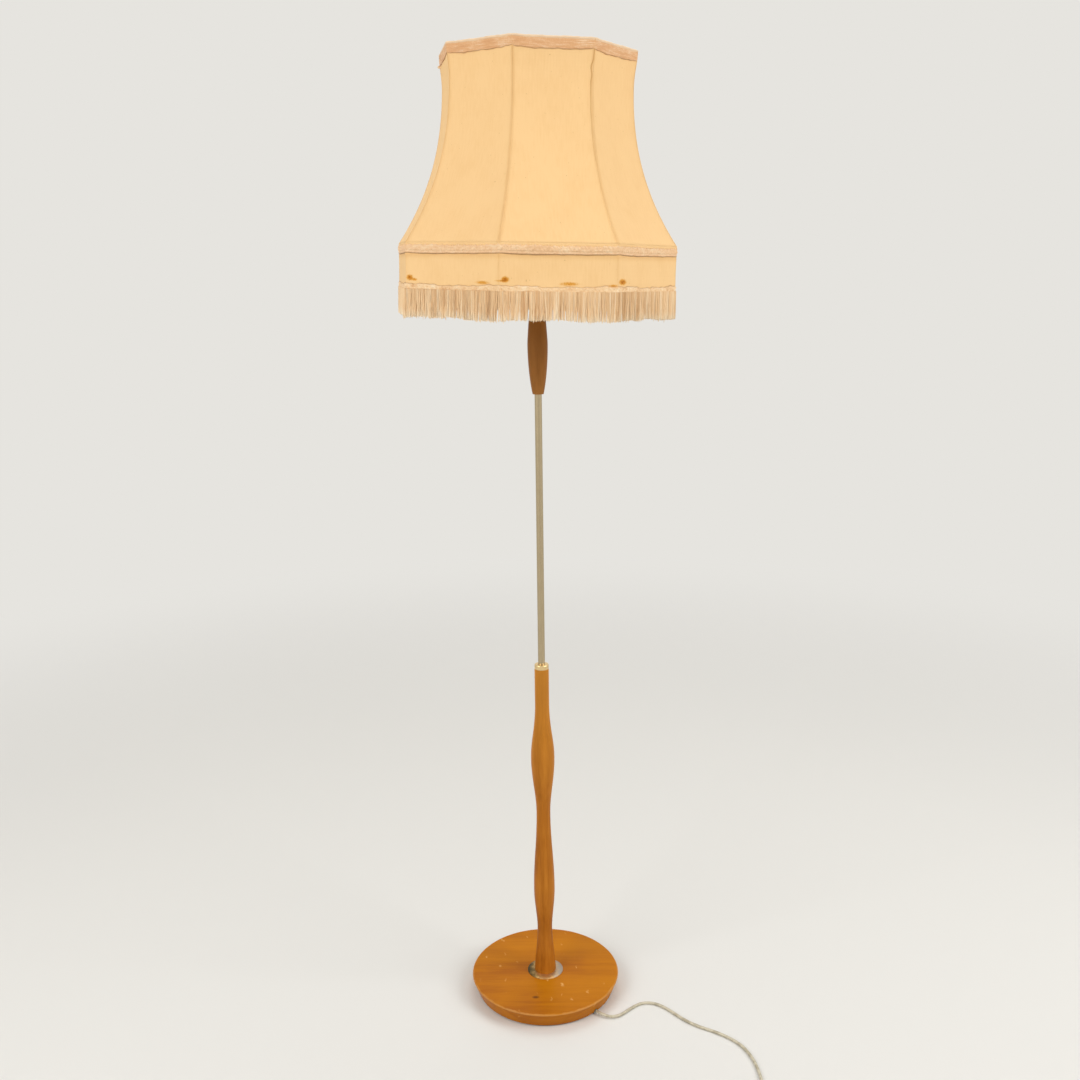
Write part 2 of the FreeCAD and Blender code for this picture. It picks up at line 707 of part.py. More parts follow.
def spindle_section(sketch):
    """The upper spindle: quickly swelling from below, slowly tapering above."""
    socket = d.cover_radius + d.running_gap
    low = spindle_widest - spindle_bottom
    high = spindle_top - spindle_widest
    outline = Outline(sketch, socket, spindle_bottom)
    outline.line(d.spindle_end_radius, spindle_bottom)
    outline.curve((d.spindle_end_radius + 4.8, spindle_bottom + low * 0.27),
                  (d.spindle_radius, spindle_bottom + low * 0.66),
                  (d.spindle_radius, spindle_widest))
    outline.curve((d.spindle_radius, spindle_widest + high * 0.12),
                  (d.spindle_top_radius + 3.0, spindle_top - high * 0.27),
                  (d.spindle_top_radius, spindle_top))
    outline.line(sleeve_clearance, spindle_top).line(sleeve_clearance, cover_top)
    outline.line(socket, cover_top).close()


def cap_section(sketch):
    """A small brass cap, domed at its edge."""
    top = spindle_top + d.cap_thickness
    outline = Outline(sketch, sleeve_clearance, spindle_top)
    outline.line(d.cap_radius, spindle_top).line(d.cap_radius, spindle_top + 0.8)
    outline.curve((d.cap_radius, top - 0.4), (d.cap_radius - 0.8, top), (d.cap_radius - 2.0, top))
    outline.line(sleeve_clearance, top).close()


def make_column():
    turned("foot_plate", foot_plate_section)
    turned("lower_column", column_section)
    turned("column_ferrule", ferrule_section)
    turned("cover_tube", ring_section(sleeve_clearance, cover_bottom, d.cover_radius, cover_top))
    turned("tie_tube", ring_section(d.tie_bore, tie_bottom, d.tie_radius, neck_top + 1.0))
    turned("upper_spindle", spindle_section)
    turned("spindle_cap", cap_section)
    hexagon_prism("lock_nut", d.nut_flats, spindle_top + d.cap_thickness, d.lock_nut_height,
                  d.tie_radius + d.running_gap)


# ---------------------------------------------------------------- lampholder

def holder_cap_section(sketch):
    """The entry: a threaded neck that opens into a dome with a spigot."""
    bore = d.tie_radius + d.running_gap
    neck_inside = neck_top + 2.0
    outline = Outline(sketch, bore, holder_bottom)
    outline.line(d.holder_neck_radius, holder_bottom).line(d.holder_neck_radius, neck_top)
    outline.curve((d.holder_neck_radius + 5, neck_top), (d.holder_radius, dome_top - 8),
                  (d.holder_radius, dome_top - 2))
    outline.line(d.holder_radius, dome_top).line(spigot_radius, dome_top)
    outline.line(spigot_radius, dome_top + 3).line(spigot_radius - d.holder_wall, dome_top + 3)
    outline.line(spigot_radius - d.holder_wall, dome_top - 2)
    outline.curve((spigot_radius - d.holder_wall, dome_top - 6),
                  (d.holder_neck_radius + 3, neck_inside), (d.holder_neck_radius - 1, neck_inside))
    outline.line(bore, neck_inside).close()


def make_housing():
    """Switch housing: a cup over the dome's spigot, bored across for the push bar."""
    body = new_body("switch_housing")
    sketch = new_sketch(body, "XZ_Plane")
    mouth = d.sleeve_radius + d.fit_gap
    outline = Outline(sketch, housing_bore, dome_top)
    outline.line(d.holder_radius, dome_top).line(d.holder_radius, housing_top - 1.0)
    outline.line(d.holder_radius - 1.0, housing_top).line(mouth, housing_top)
    outline.line(mouth, flange_top).line(housing_bore, flange_top).close()
    revolve(body, sketch)
    hole = new_sketch(body, "YZ_Plane")
    circle(hole, 0, bar_level, d.switch_bar_radius + d.running_gap)
    cut_through(body, hole)
    return body


def make_sleeve():
    """The mouth: a tube with a flange and two bayonet slots opposite each other."""
    body = new_body("holder_sleeve")
    sketch = new_sketch(body, "XZ_Plane")
    flange = housing_bore - d.fit_gap
    seat_bore = d.sleeve_bore - 1.8
    seat_bottom = insulator_bottom - 1.2
    outline = Outline(sketch, seat_bore, seat_bottom)
    outline.line(d.sleeve_radius, seat_bottom).line(d.sleeve_radius, flange_bottom)
    outline.line(flange, flange_bottom).line(flange, flange_top).line(d.sleeve_radius, flange_top)
    outline.line(d.sleeve_radius, sleeve_rim - 0.6).line(d.sleeve_radius - 0.6, sleeve_rim)
    outline.line(d.sleeve_bore, sleeve_rim).line(d.sleeve_bore, insulator_bottom)
    outline.line(seat_bore, insulator_bottom).close()
    revolve(body, sketch)
    slot = new_sketch(body, "YZ_Plane")
    half = d.bulb_pin_radius + 0.3
    stop = pin_level + d.bulb_pin_radius + 0.05
    floor = pin_level - d.contact_travel - half
    ceiling = pin_level - d.contact_travel + half
    entry = half * 3.6
    outline = Outline(slot, -half, floor)
    outline.line(entry + half, floor).line(entry + half, sleeve_rim + 1)
    outline.line(entry - half, sleeve_rim + 1).line(entry - half, ceiling)
    outline.line(half, ceiling).line(half, stop).line(-half, stop).close()
    slot_cut = feature(body, "Pocket", "bayonet_slot", slot, Length=d.holder_radius, Reversed=True)
    around(body, [slot_cut], 2)
    return body


def make_insulator():
    """Insulating block with two stepped wells for the plungers and their springs."""
    body = new_body("holder_insulator")
    sketch = new_sketch(body, "XY_Plane", insulator_bottom)
    circle(sketch, 0, 0, d.sleeve_bore - d.fit_gap)
    pad(body, sketch, d.insulator_height)
    shaft = new_sketch(body, "XY_Plane", insulator_bottom)
    circle(shaft, 0, d.contact_spread, d.contact_radius + d.fit_gap)
    circle(shaft, 0, -d.contact_spread, d.contact_radius + d.fit_gap)
    cut_through(body, shaft)
    well = new_sketch(body, "XY_Plane", insulator_bottom)
    well_radius = d.contact_collar + d.fit_gap
    circle(well, 0, d.contact_spread, well_radius)
    circle(well, 0, -d.contact_spread, well_radius)
    feature(body, "Pocket", "spring_wells", well, Length=collar_seat + 4.3 - insulator_bottom,
            Reversed=True)
    return body


def turned_at_contact(body, draw_section):
    """A turned piece on a contact's own axis."""
    sketch = new_sketch(body, "YZ_Plane")
    draw_section(sketch)
    middle = d.contact_spread
    axis = sketch.addGeometry(Part.LineSegment(
        point_at(middle, insulator_bottom), point_at(middle, insulator_top)), True)
    hold(sketch, axis, 1, middle, insulator_bottom)
    hold(sketch, axis, 2, middle, insulator_top)
    return feature(body, "Revolution", "turned", sketch,
                   ReferenceAxis=(sketch, ["Axis0"]), Angle=360)


def make_plungers():
    """Two spring-loaded contact plungers, one each side of the axis along Y."""
    body = new_body("contact_plungers")
    around(body, [turned_at_contact(body, plunger_section)], 2)


def make_terminals():
    """Two terminals, each a plate under its spring, a post and a clamping screw."""
    body = new_body("terminals")
    post = turned_at_contact(body, terminal_section)
    head = new_sketch(body, "XZ_Plane", -(d.contact_spread + terminal_post_radius))
    circle(head, 0, insulator_bottom - 2, 1.7)
    screw = feature(body, "Pad", "screw", head, Length=1.5, Reversed=True)
    around(body, [post, screw], 2)


def plunger_section(sketch):
    """A contact plunger: a collar that the spring pushes and a domed tip."""
    middle = d.contact_spread
    tip = bulb_seat - 0.05
    outline = Outline(sketch, middle, collar_seat)
    outline.line(middle + d.contact_collar, collar_seat)
    outline.line(middle + d.contact_collar, collar_seat + 2)
    outline.line(middle + d.contact_radius, collar_seat + 2)
    outline.line(middle + d.contact_radius, tip - 1)
    outline.curve((middle + d.contact_radius, tip - 0.4), (middle + 1, tip), (middle, tip)).close()


def terminal_section(sketch):
    """A terminal: a plate that closes the spring's well, with a post below it."""
    middle = d.contact_spread
    outline = Outline(sketch, middle, insulator_bottom - 4)
    outline.line(middle + terminal_post_radius, insulator_bottom - 4)
    outline.line(middle + terminal_post_radius, insulator_bottom)
    outline.line(middle + d.contact_collar, insulator_bottom)
    outline.line(middle + d.contact_collar, insulator_bottom + 2)
    outline.line(middle, insulator_bottom + 2).close()


def make_springs():
    """Two helical springs under the plungers' collars."""
    low = (insulator_bottom + 2).value + d.spring_wire.value + 0.05
    high = collar_seat.value - d.spring_wire.value - 0.05
    wire = d.spring_wire.value
    radius = d.contact_collar.value - wire - 0.1
    turns = 3.5
    helix = Part.makeHelix((high - low) / turns, high - low, radius)
    section = Part.Wire(Part.makeCircle(wire, Vector(radius, 0, 0), Vector(0, 1, 0)))
    coil = Part.Wire(helix).makePipeShell([section], True, True)
    coils = []
    for side in (1, -1):
        copy = coil.copy()
        copy.translate(Vector(0, side * d.contact_spread.value, low))
        coils.append(copy)
    item = doc.addObject("Part::Feature", "contact_springs")
    item.Label = "contact_springs"
    item.Shape = Part.Compound(coils)
    nodes.append(item)


def make_cores():
    """The flex's two cores, from its end to the terminals."""
    body = new_body("flex_cores")
    path = new_sketch(body, "YZ_Plane")
    start = neck_top + 7.2
    end = insulator_bottom - 4.1
    near = 1.2
    outline = Outline(path, near, start)
    outline.curve((near, start + 5), (d.contact_spread, start + 4), (d.contact_spread, end))
    section = new_sketch(body, "XY_Plane", start)
    circle(section, 0, near, 0.9)
    core = pipe(body, section, path, 1)
    around(body, [core], 2)
    return body


def bar_section(sketch):
    """The push bar, drawn along its own axis, with rounded ends."""
    half = d.switch_bar_length / 2
    left = -half + d.switch_travel / 2
    right = half + d.switch_travel / 2
    radius = d.switch_bar_radius
    outline = Outline(sketch, left, bar_level)
    outline.curve((left, bar_level + radius * CIRCLE_HANDLE),
                  (left + radius * (1 - CIRCLE_HANDLE), bar_level + radius),
                  (left + radius, bar_level + radius))
    outline.line(right - radius, bar_level + radius)
    outline.curve((right - radius * (1 - CIRCLE_HANDLE), bar_level + radius),
                  (right, bar_level + radius * CIRCLE_HANDLE), (right, bar_level))
    outline.close()


def make_switch_bar():
    """Push-through bar of the switch."""
    body = new_body("switch_bar")
    sketch = new_sketch(body, "XZ_Plane")
    bar_section(sketch)
    left = -d.switch_bar_length / 2
    axis = sketch.addGeometry(Part.LineSegment(
        point_at(left, bar_level), point_at(-left, bar_level)), True)
    hold(sketch, axis, 1, left, bar_level)
    hold(sketch, axis, 2, -left, bar_level)
    feature(body, "Revolution", "turned", sketch, ReferenceAxis=(sketch, ["Axis0"]), Angle=360)
    return body


def make_lampholder():
    turned("holder_cap", holder_cap_section)
    make_housing()
    make_sleeve()
    make_insulator()
    make_plungers()
    make_springs()
    make_terminals()
    make_cores()
    make_switch_bar()
    clamp_bottom = housing_top + d.carrier_thickness
    turned("shade_ring", ring_section(d.sleeve_radius + d.running_gap, clamp_bottom,
                                      d.holder_radius + 1.3, clamp_bottom + 6))


# ---------------------------------------------------------------- bulb

def bulb_glass_section(sketch):
    """The globe and its neck, a thin wall open at the bottom into the cap."""
    bottom = bulb_seat + d.bulb_cap_height - 6
    shoulder = bulb_seat + d.bulb_cap_height
    neck = d.bulb_cap_radius - 1.2
    quarter = d.bulb_radius * CIRCLE_HANDLE
    inside = d.bulb_radius - d.bulb_wall
    inner_quarter = inside * CIRCLE_HANDLE
    outline = Outline(sketch, neck, bottom)
    outline.line(neck, shoulder)
    outline.curve((neck + 1, shoulder + 14), (d.bulb_radius, globe_middle - 26),
                  (d.bulb_radius, globe_middle))
    outline.curve((d.bulb_radius, globe_middle + quarter), (quarter, globe_middle + d.bulb_radius),
                  (0, globe_middle + d.bulb_radius))
    outline.line(0, globe_middle + inside)
    outline.curve((inner_quarter, globe_middle + inside), (inside, globe_middle + inner_quarter),
                  (inside, globe_middle))
    outline.curve((inside, globe_middle - 26), (neck + 1 - d.bulb_wall, shoulder + 14),
                  (neck - d.bulb_wall, shoulder))
    outline.line(neck - d.bulb_wall, bottom).close()


def make_bulb_cap():
    """The bayonet cap: a metal shell with two pins."""
    body = new_body("bulb_cap")
    sketch = new_sketch(body, "XZ_Plane")
    wall = 0.5
    lip = d.bulb_cap_radius - 3.0
    top = bulb_seat + d.bulb_cap_height
    outline = Outline(sketch, lip, bulb_seat + 1)
    outline.line(d.bulb_cap_radius, bulb_seat + 1).line(d.bulb_cap_radius, top)
    outline.line(d.bulb_cap_radius - wall, top)
    outline.line(d.bulb_cap_radius - wall, bulb_seat + 1 + wall)
    outline.line(lip, bulb_seat + 1 + wall).close()
    revolve(body, sketch)
    pin = new_sketch(body, "YZ_Plane", d.bulb_cap_radius - 0.3)
    circle(pin, 0, pin_level, d.bulb_pin_radius)
    first = pad(body, pin, 2.4)
    around(body, [first], 2)
    return body


def make_bulb():
    turned("bulb_glass", bulb_glass_section)
    make_bulb_cap()
    turned("bulb_base", ring_section(0, bulb_seat + 0.2, d.bulb_cap_radius - 3.1, bulb_seat + 4))
    body = new_body("bulb_contacts")
    sketch = new_sketch(body, "XY_Plane", bulb_seat)
    circle(sketch, 0, d.contact_spread, 1.8)
    circle(sketch, 0, -d.contact_spread, 1.8)
    pad(body, sketch, 0.2)


# ---------------------------------------------------------------- shade carrier

def hoop_section(sketch):
    """The hoop: a flat ledge with a lip inside that centres the shade's ring."""
    ledge_outside = lip_outside + d.hoop_ledge + 1.0
    outline = Outline(sketch, lip_radius, hoop_bottom)
    outline.line(ledge_outside, hoop_bottom).line(ledge_outside, ledge_top)
    outline.line(lip_outside, ledge_top).line(lip_outside, ledge_top + d.hoop_lip)
    outline.line(lip_radius, ledge_top + d.hoop_lip).close()


def make_carrier():
    foot_outside = d.holder_radius + 1.6
    turned("carrier_foot", ring_section(d.sleeve_radius + d.fit_gap, housing_top,
                                        foot_outside, housing_top + d.carrier_thickness))
    body = new_body("carrier_arms", 90.0)
    wire_level = housing_top + d.carrier_wire
    bend = 14.0
    path = new_sketch(body, "XZ_Plane")
    reach = d.carrier_hoop_radius
    outline = Outline(path, foot_outside + 0.05, wire_level)
    outline.line(reach - bend, wire_level)
    outline.curve((reach - bend * (1 - CIRCLE_HANDLE), wire_level),
                  (reach, wire_level + bend * (1 - CIRCLE_HANDLE)), (reach, wire_level + bend))
    outline.line(reach, hoop_bottom - 0.05)
    section = new_sketch(body, "YZ_Plane", foot_outside + 0.05)
    circle(section, 0, wire_level, d.carrier_wire)
    arm = pipe(body, section, path, 3)
    around(body, [arm], 3)
    turned("carrier_hoop", hoop_section)


# ---------------------------------------------------------------- shade frame

def apothem(corner):
    """Distance from the axis to the middle of a side, from its corner radius."""
    return corner * COS_HALF


def rib_line(outline, shift, scale):
    """The cover's profile from its top edge down to the flare's lower edge."""
    drop = shade_waist - shade_flare
    lip = shade_top - shade_waist

    def at(corner, level):
        return ((corner * COS_HALF - shift) * scale, over_ring(level))

    outline.curve(at(d.shade_top_corner, shade_top - lip * 0.3),
                  at(d.shade_waist_corner, shade_waist + lip * 0.4),
                  at(d.shade_waist_corner, shade_waist))
    outline.curve(at(d.shade_waist_corner, shade_waist - drop * 0.39),
                  at(d.shade_flare_corner - drop * 0.21, shade_flare + drop * 0.3),
                  at(d.shade_flare_corner, shade_flare))


def rib_line_up(outline, shift, scale):
    """The same profile drawn upwards."""
    drop = shade_waist - shade_flare
    lip = shade_top - shade_waist

    def at(corner, level):
        return ((corner * COS_HALF - shift) * scale, over_ring(level))

    outline.curve(at(d.shade_flare_corner - drop * 0.21, shade_flare + drop * 0.3),
                  at(d.shade_waist_corner, shade_waist - drop * 0.39),
                  at(d.shade_waist_corner, shade_waist))
    outline.curve(at(d.shade_waist_corner, shade_waist + lip * 0.4),
                  at(d.shade_top_corner, shade_top - lip * 0.3),
                  at(d.shade_top_corner, shade_top))


def frame_ring(label, corner, level):
    """An octagon of round wire with bent corners: one side and corner, eight times."""
    side = apothem(corner) - d.frame_inset
    body = new_shade_body(label)
    path = new_sketch(body, "XY_Plane", over_ring(level))
    middle = side - d.frame_bend
    turn = math.radians(360.0 / SIDES)
    straight_end = middle * TAN_HALF
    handle = d.frame_bend * (4.0 / 3.0 * math.tan(turn / 4.0))
    end_x = middle + d.frame_bend * math.cos(turn)
    end_y = straight_end + d.frame_bend * math.sin(turn)
    outline = Outline(path, side, 0)
    outline.line(side, straight_end)
    outline.curve((side, straight_end + handle),
                  (end_x + handle * math.sin(turn), end_y - handle * math.cos(turn)),
                  (end_x, end_y))
    outline.line(side * math.cos(turn), side * math.sin(turn))
    section = new_sketch(body, "XZ_Plane")
    circle(section, side, over_ring(level), d.frame_wire)
    bent = pipe(body, section, path, 3)
    around(body, [bent], SIDES)
    return body


def make_uprights():
    """Eight ribs that follow the cover's corners, and eight short struts in the collar."""
    body = new_shade_body("frame_uprights", -180.0 / SIDES)
    path = new_sketch(body, "XZ_Plane")
    top_level = shade_top - 3.9
    top = over_ring(top_level)
    drop = shade_waist - shade_flare
    lip = top_level - shade_waist

    def at(corner, level):
        return (corner - d.frame_inset / COS_HALF, over_ring(level))

    outline = Outline(path, *at(d.shade_top_corner, top_level))
    outline.curve(at(d.shade_top_corner, top_level - lip * 0.3),
                  at(d.shade_waist_corner, shade_waist + lip * 0.4),
                  at(d.shade_waist_corner, shade_waist))
    outline.curve(at(d.shade_waist_corner, shade_waist - drop * 0.39),
                  at(d.shade_flare_corner - drop * 0.21, shade_flare + drop * 0.3),
                  at(d.shade_flare_corner - 1.6, shade_flare - 0.7))
    section = new_sketch(body, "XY_Plane", top)
    circle(section, at(d.shade_top_corner, top_level)[0], 0, d.frame_wire)
    rib = pipe(body, section, path, 2)
    corner = d.shade_flare_corner - (d.frame_inset + 0.6) / COS_HALF
    bottom = over_ring(shade_hem + 2) + d.frame_wire + 0.1
    foot = new_sketch(body, "XY_Plane", bottom)
    circle(foot, corner, 0, d.frame_wire)
    strut = pad(body, foot, over_ring(shade_flare - 2) - d.frame_wire - 0.1 - bottom)
    around(body, [rib, strut], SIDES)


def make_fitting():
    """The shade's own ring and the four wires that hold it in the frame's top."""
    body = new_shade_body("shade_fitting_ring")
    sketch = new_sketch(body, "XZ_Plane")
    box(sketch, ring_bore, 0, ring_outside, d.ring_thickness)
    revolve(body, sketch)
    arms = new_shade_body("shade_fitting_arms", -180.0 / SIDES)
    path = new_sketch(arms, "XZ_Plane")
    start = ring_outside + 0.1
    level = d.ring_thickness / 2
    end = (apothem(d.shade_top_corner) - d.frame_inset) / COS_HALF - d.frame_wire - 1.0
    end_level = over_ring(shade_top - 2.4)
    outline = Outline(path, start, level)
    outline.line(start + 6, level)
    outline.curve((start + 20, level), (end - 30, end_level), (end - 8, end_level))
    outline.line(end, end_level)
    section = new_sketch(arms, "YZ_Plane", start)
    circle(section, 0, level, d.frame_wire)
    arm = pipe(arms, section, path, 3)
    around(arms, [arm], 4)


def make_frame():
    frame_ring("frame_top_ring", d.shade_top_corner, shade_top - 2.4)
    frame_ring("frame_flare_ring", d.shade_flare_corner, shade_flare - 2)
    frame_ring("frame_hem_ring", d.shade_flare_corner, shade_hem + 2)
    make_uprights()
    make_fitting()


# ---------------------------------------------------------------- shade cover

def mitre(body):
    """Cut both ends of a panel to the planes through the shade's corners."""
    reach = d.shade_flare_corner * 1.2
    for side in (1, -1):
        sketch = new_sketch(body, "XY_Plane")
        gap = d.seam_gap / 2 * side
        outline = Outline(sketch, 0, -gap)
        outline.line(reach, reach * TAN_HALF * side - gap).line(reach, reach * side)
        outline.line(0, reach * side).close()
        cut_through(body, sketch)


def panel_body(label, number, shift, thickness):
    """One flared panel between two ribs: its profile along the side, mitred at the ribs."""
    body = new_shade_body(label, 360.0 / SIDES * number)
    sketch = new_sketch(body, "XZ_Plane")
    outer = as_size(shift)
    inner = outer + thickness
    top = (apothem(d.shade_top_corner) - outer, over_ring(shade_top))
    outline = Outline(sketch, *top)
    rib_line(outline, outer, 1.0)
    outline.line(apothem(d.shade_flare_corner) - inner, over_ring(shade_flare))
    rib_line_up(outline, inner, 1.0)
    outline.close()
    width = d.shade_flare_corner * 0.9
    feature(body, "Pad", "pad", sketch, Length=width, Midplane=True)
    mitre(body)
    return body


def make_lining():
    """The lining: one inner cover with eight mitred corners, down to the hem."""
    body = new_shade_body("shade_lining")
    outer = d.lining_inset
    inner = outer + d.lining_thickness
    low = over_ring(shade_hem + 1)
    drop = shade_waist - shade_flare
    edge = shade_waist + 38.0

    def at(corner, level, shift):
        return (corner * COS_HALF - shift, over_ring(level))

    path = new_sketch(body, "XY_Plane", over_ring(edge))
    side = apothem(d.shade_waist_corner) - outer
    walk = Outline(path, side, 0)
    for number in range(SIDES):
        angle = math.radians((number + 0.5) * 360.0 / SIDES)
        reach = side / COS_HALF
        walk.line(reach * math.cos(angle), reach * math.sin(angle))
    walk.close()
    sketch = new_sketch(body, "XZ_Plane")
    outline = Outline(sketch, *at(d.shade_waist_corner, edge, outer))
    outline.line(*at(d.shade_waist_corner, shade_waist, outer))
    outline.curve(at(d.shade_waist_corner, shade_waist - drop * 0.39, outer),
                  at(d.shade_flare_corner - drop * 0.21, shade_flare + drop * 0.3, outer),
                  at(d.shade_flare_corner, shade_flare, outer))
    outline.line(apothem(d.shade_flare_corner) - outer, low)
    outline.line(apothem(d.shade_flare_corner) - inner, low)
    outline.line(*at(d.shade_flare_corner, shade_flare, inner))
    outline.curve(at(d.shade_flare_corner - drop * 0.21, shade_flare + drop * 0.3, inner),
                  at(d.shade_waist_corner, shade_waist - drop * 0.39, inner),
                  at(d.shade_waist_corner, shade_waist, inner))
    outline.line(*at(d.shade_waist_corner, edge, inner)).close()
    cover = pipe(body, sketch, path, SIDES + 1)
    cover.Transition = "Right corner"


def octagon_band(label, side, thickness, bottom, height):
    """An upright eight-sided band round the shade, its inner face at the given apothem."""
    body = new_shade_body(label)
    sketch = new_sketch(body, "XY_Plane", over_ring(bottom))
    octagon(sketch, side + thickness)
    octagon(sketch, side)
    pad(body, sketch, height)
    return body


def make_cover():
    for number in range(SIDES):
        panel_body("shade_panel_%d" % (number + 1), number, 0, d.fabric_thickness)
    make_lining()
    flare = apothem(d.shade_flare_corner)
    octagon_band("shade_collar", flare - d.fabric_thickness, d.fabric_thickness,
                 shade_hem, shade_flare - shade_hem - 0.2)
    outside = flare + d.seam_gap
    octagon_band("top_trim", apothem(d.shade_top_corner) + d.seam_gap, d.trim_thickness,
                 shade_top + 2 - d.top_trim_height, d.top_trim_height)
    octagon_band("flare_trim", outside, d.trim_thickness,
                 shade_flare + 5 - d.mid_trim_height, d.mid_trim_height)
    heading_bottom = shade_hem - 3
    octagon_band("fringe_heading", outside, d.trim_thickness, heading_bottom, d.heading_height)
    octagon_band("shade_fringe", outside, d.fringe_thickness,
                 heading_bottom - d.fringe_length, d.fringe_length - 0.1)


# ---------------------------------------------------------------- cord and plug

def route_wire(points):
    """Straight runs joined by tangent arcs, each as large as its two runs allow."""
    places = [Vector(*point) for point in points]
    edges = []
    here = places[0]
    radii = []
    for before, corner, after in zip(places, places[1:], places[2:]):
        back = before - corner
        ahead = after - corner
        shorter = min(back.Length, ahead.Length)
        turn = math.pi - back.getAngle(ahead)
        setback = 0.45 * shorter
        radii.append(setback / math.tan(turn / 2.0))
        enter = corner + back.normalize() * setback
        leave = corner + ahead.normalize() * setback
        bisector = (back + ahead).normalize()
        depth = radii[-1] * (1.0 / math.cos(turn / 2.0) - 1.0)
        edges.append(Part.LineSegment(here, enter).toShape())
        edges.append(Part.Arc(enter, corner + bisector * depth, leave).toShape())
        here = leave
    edges.append(Part.LineSegment(here, places[-1]).toShape())
    return Part.Wire(edges), radii


def cord_tube(label, points):
    """A free stretch of cord as one tube."""
    if len(points) == 2:
        path = Part.Wire([Part.LineSegment(Vector(*points[0]), Vector(*points[1])).toShape()])
        radii = []
    else:
        path, radii = route_wire(points)
    start = Vector(*points[0])
    heading = Vector(*points[1]) - start
    section = Part.Wire(Part.makeCircle(d.cord_radius.value, start, heading))
    item = doc.addObject("Part::Feature", label)
    item.Label = label
    item.Shape = path.makePipeShell([section], True, False)
    nodes.append(item)
    expected = math.pi * d.cord_radius.value ** 2 * path.Length
    print("%s: %.0f mm long, volume ratio %.4f, bend radii %s" % (
        label, path.Length, item.Shape.Volume / expected,
        " ".join("%.0f" % radius for radius in radii)))


def make_coil():
    """The coiled cord's outer shape, and the band that ties it."""
    cord = d.cord_radius * 2
    bottom = d.coil_floor
    top = bottom + cord * d.coil_layers + 0.4
    inner = d.coil_radius - cord - 0.2
    outer = d.coil_radius + cord + 0.2
    edge = d.cord_radius
    body = new_body("cord_coil")
    sketch = new_sketch(body, "XZ_Plane")
    outline = Outline(sketch, inner + edge, bottom)
    outline.line(outer - edge, bottom).line(outer, bottom + edge).line(outer, top - edge)
    outline.line(outer - edge, top).line(inner + edge, top).line(inner, top - edge)
    outline.line(inner, bottom + edge).close()
    revolve(body, sketch)
    body.Placement.Base = Vector(COIL_CENTRE[0], COIL_CENTRE[1], 0)
    band = new_body("coil_tie")
    loop = new_sketch(band, "XZ_Plane", -d.tie_width / 2)
    gap = 0.05
    room = 0.5
    box(loop, -outer - gap - d.tie_band, bottom - gap - d.tie_band,
        -inner + room + d.tie_band, top + gap + d.tie_band)
    box(loop, -outer - gap, bottom - gap, -inner + room, top + gap)
    pad(band, loop, d.tie_width)
    band.Placement.Base = Vector(COIL_CENTRE[0], COIL_CENTRE[1], 0)


def rounded_plug_outline(sketch, inset):
    """The plug seen from above: wide at its far side, narrower where the cord enters."""
    half = d.plug_width / 2 - inset
    length = d.plug_length / 2 - inset
    corner = d.plug_corner
    narrow = half * 0.62
    handle = corner * (1 - CIRCLE_HANDLE)
    outline = Outline(sketch, -half + corner, -length)
    outline.line(half - corner, -length)
    outline.curve((half - handle, -length), (half, -length + handle), (half, -length + corner))
    outline.line(half, length * 0.35)
    outline.curve((half, length * 0.75), (narrow + 5, length), (narrow, length))
    outline.line(-narrow, length)
    outline.curve((-narrow - 5, length), (-half, length * 0.75), (-half, length * 0.35))
    outline.line(-half, -length + corner)
    outline.curve((-half, -length + handle), (-half + handle, -length), (-half + corner, -length))


def revolve_about_cord(body, sketch, near, far, kind, name):
    """Turn a section of the plug about the middle of its cord."""
    axis = sketch.addGeometry(Part.LineSegment(
        point_at(near, PLUG_CORD_LEVEL), point_at(far, PLUG_CORD_LEVEL)), True)
    hold(sketch, axis, 1, near, PLUG_CORD_LEVEL)
    hold(sketch, axis, 2, far, PLUG_CORD_LEVEL)
    feature(body, kind, name, sketch, ReferenceAxis=(sketch, ["Axis0"]), Angle=360)


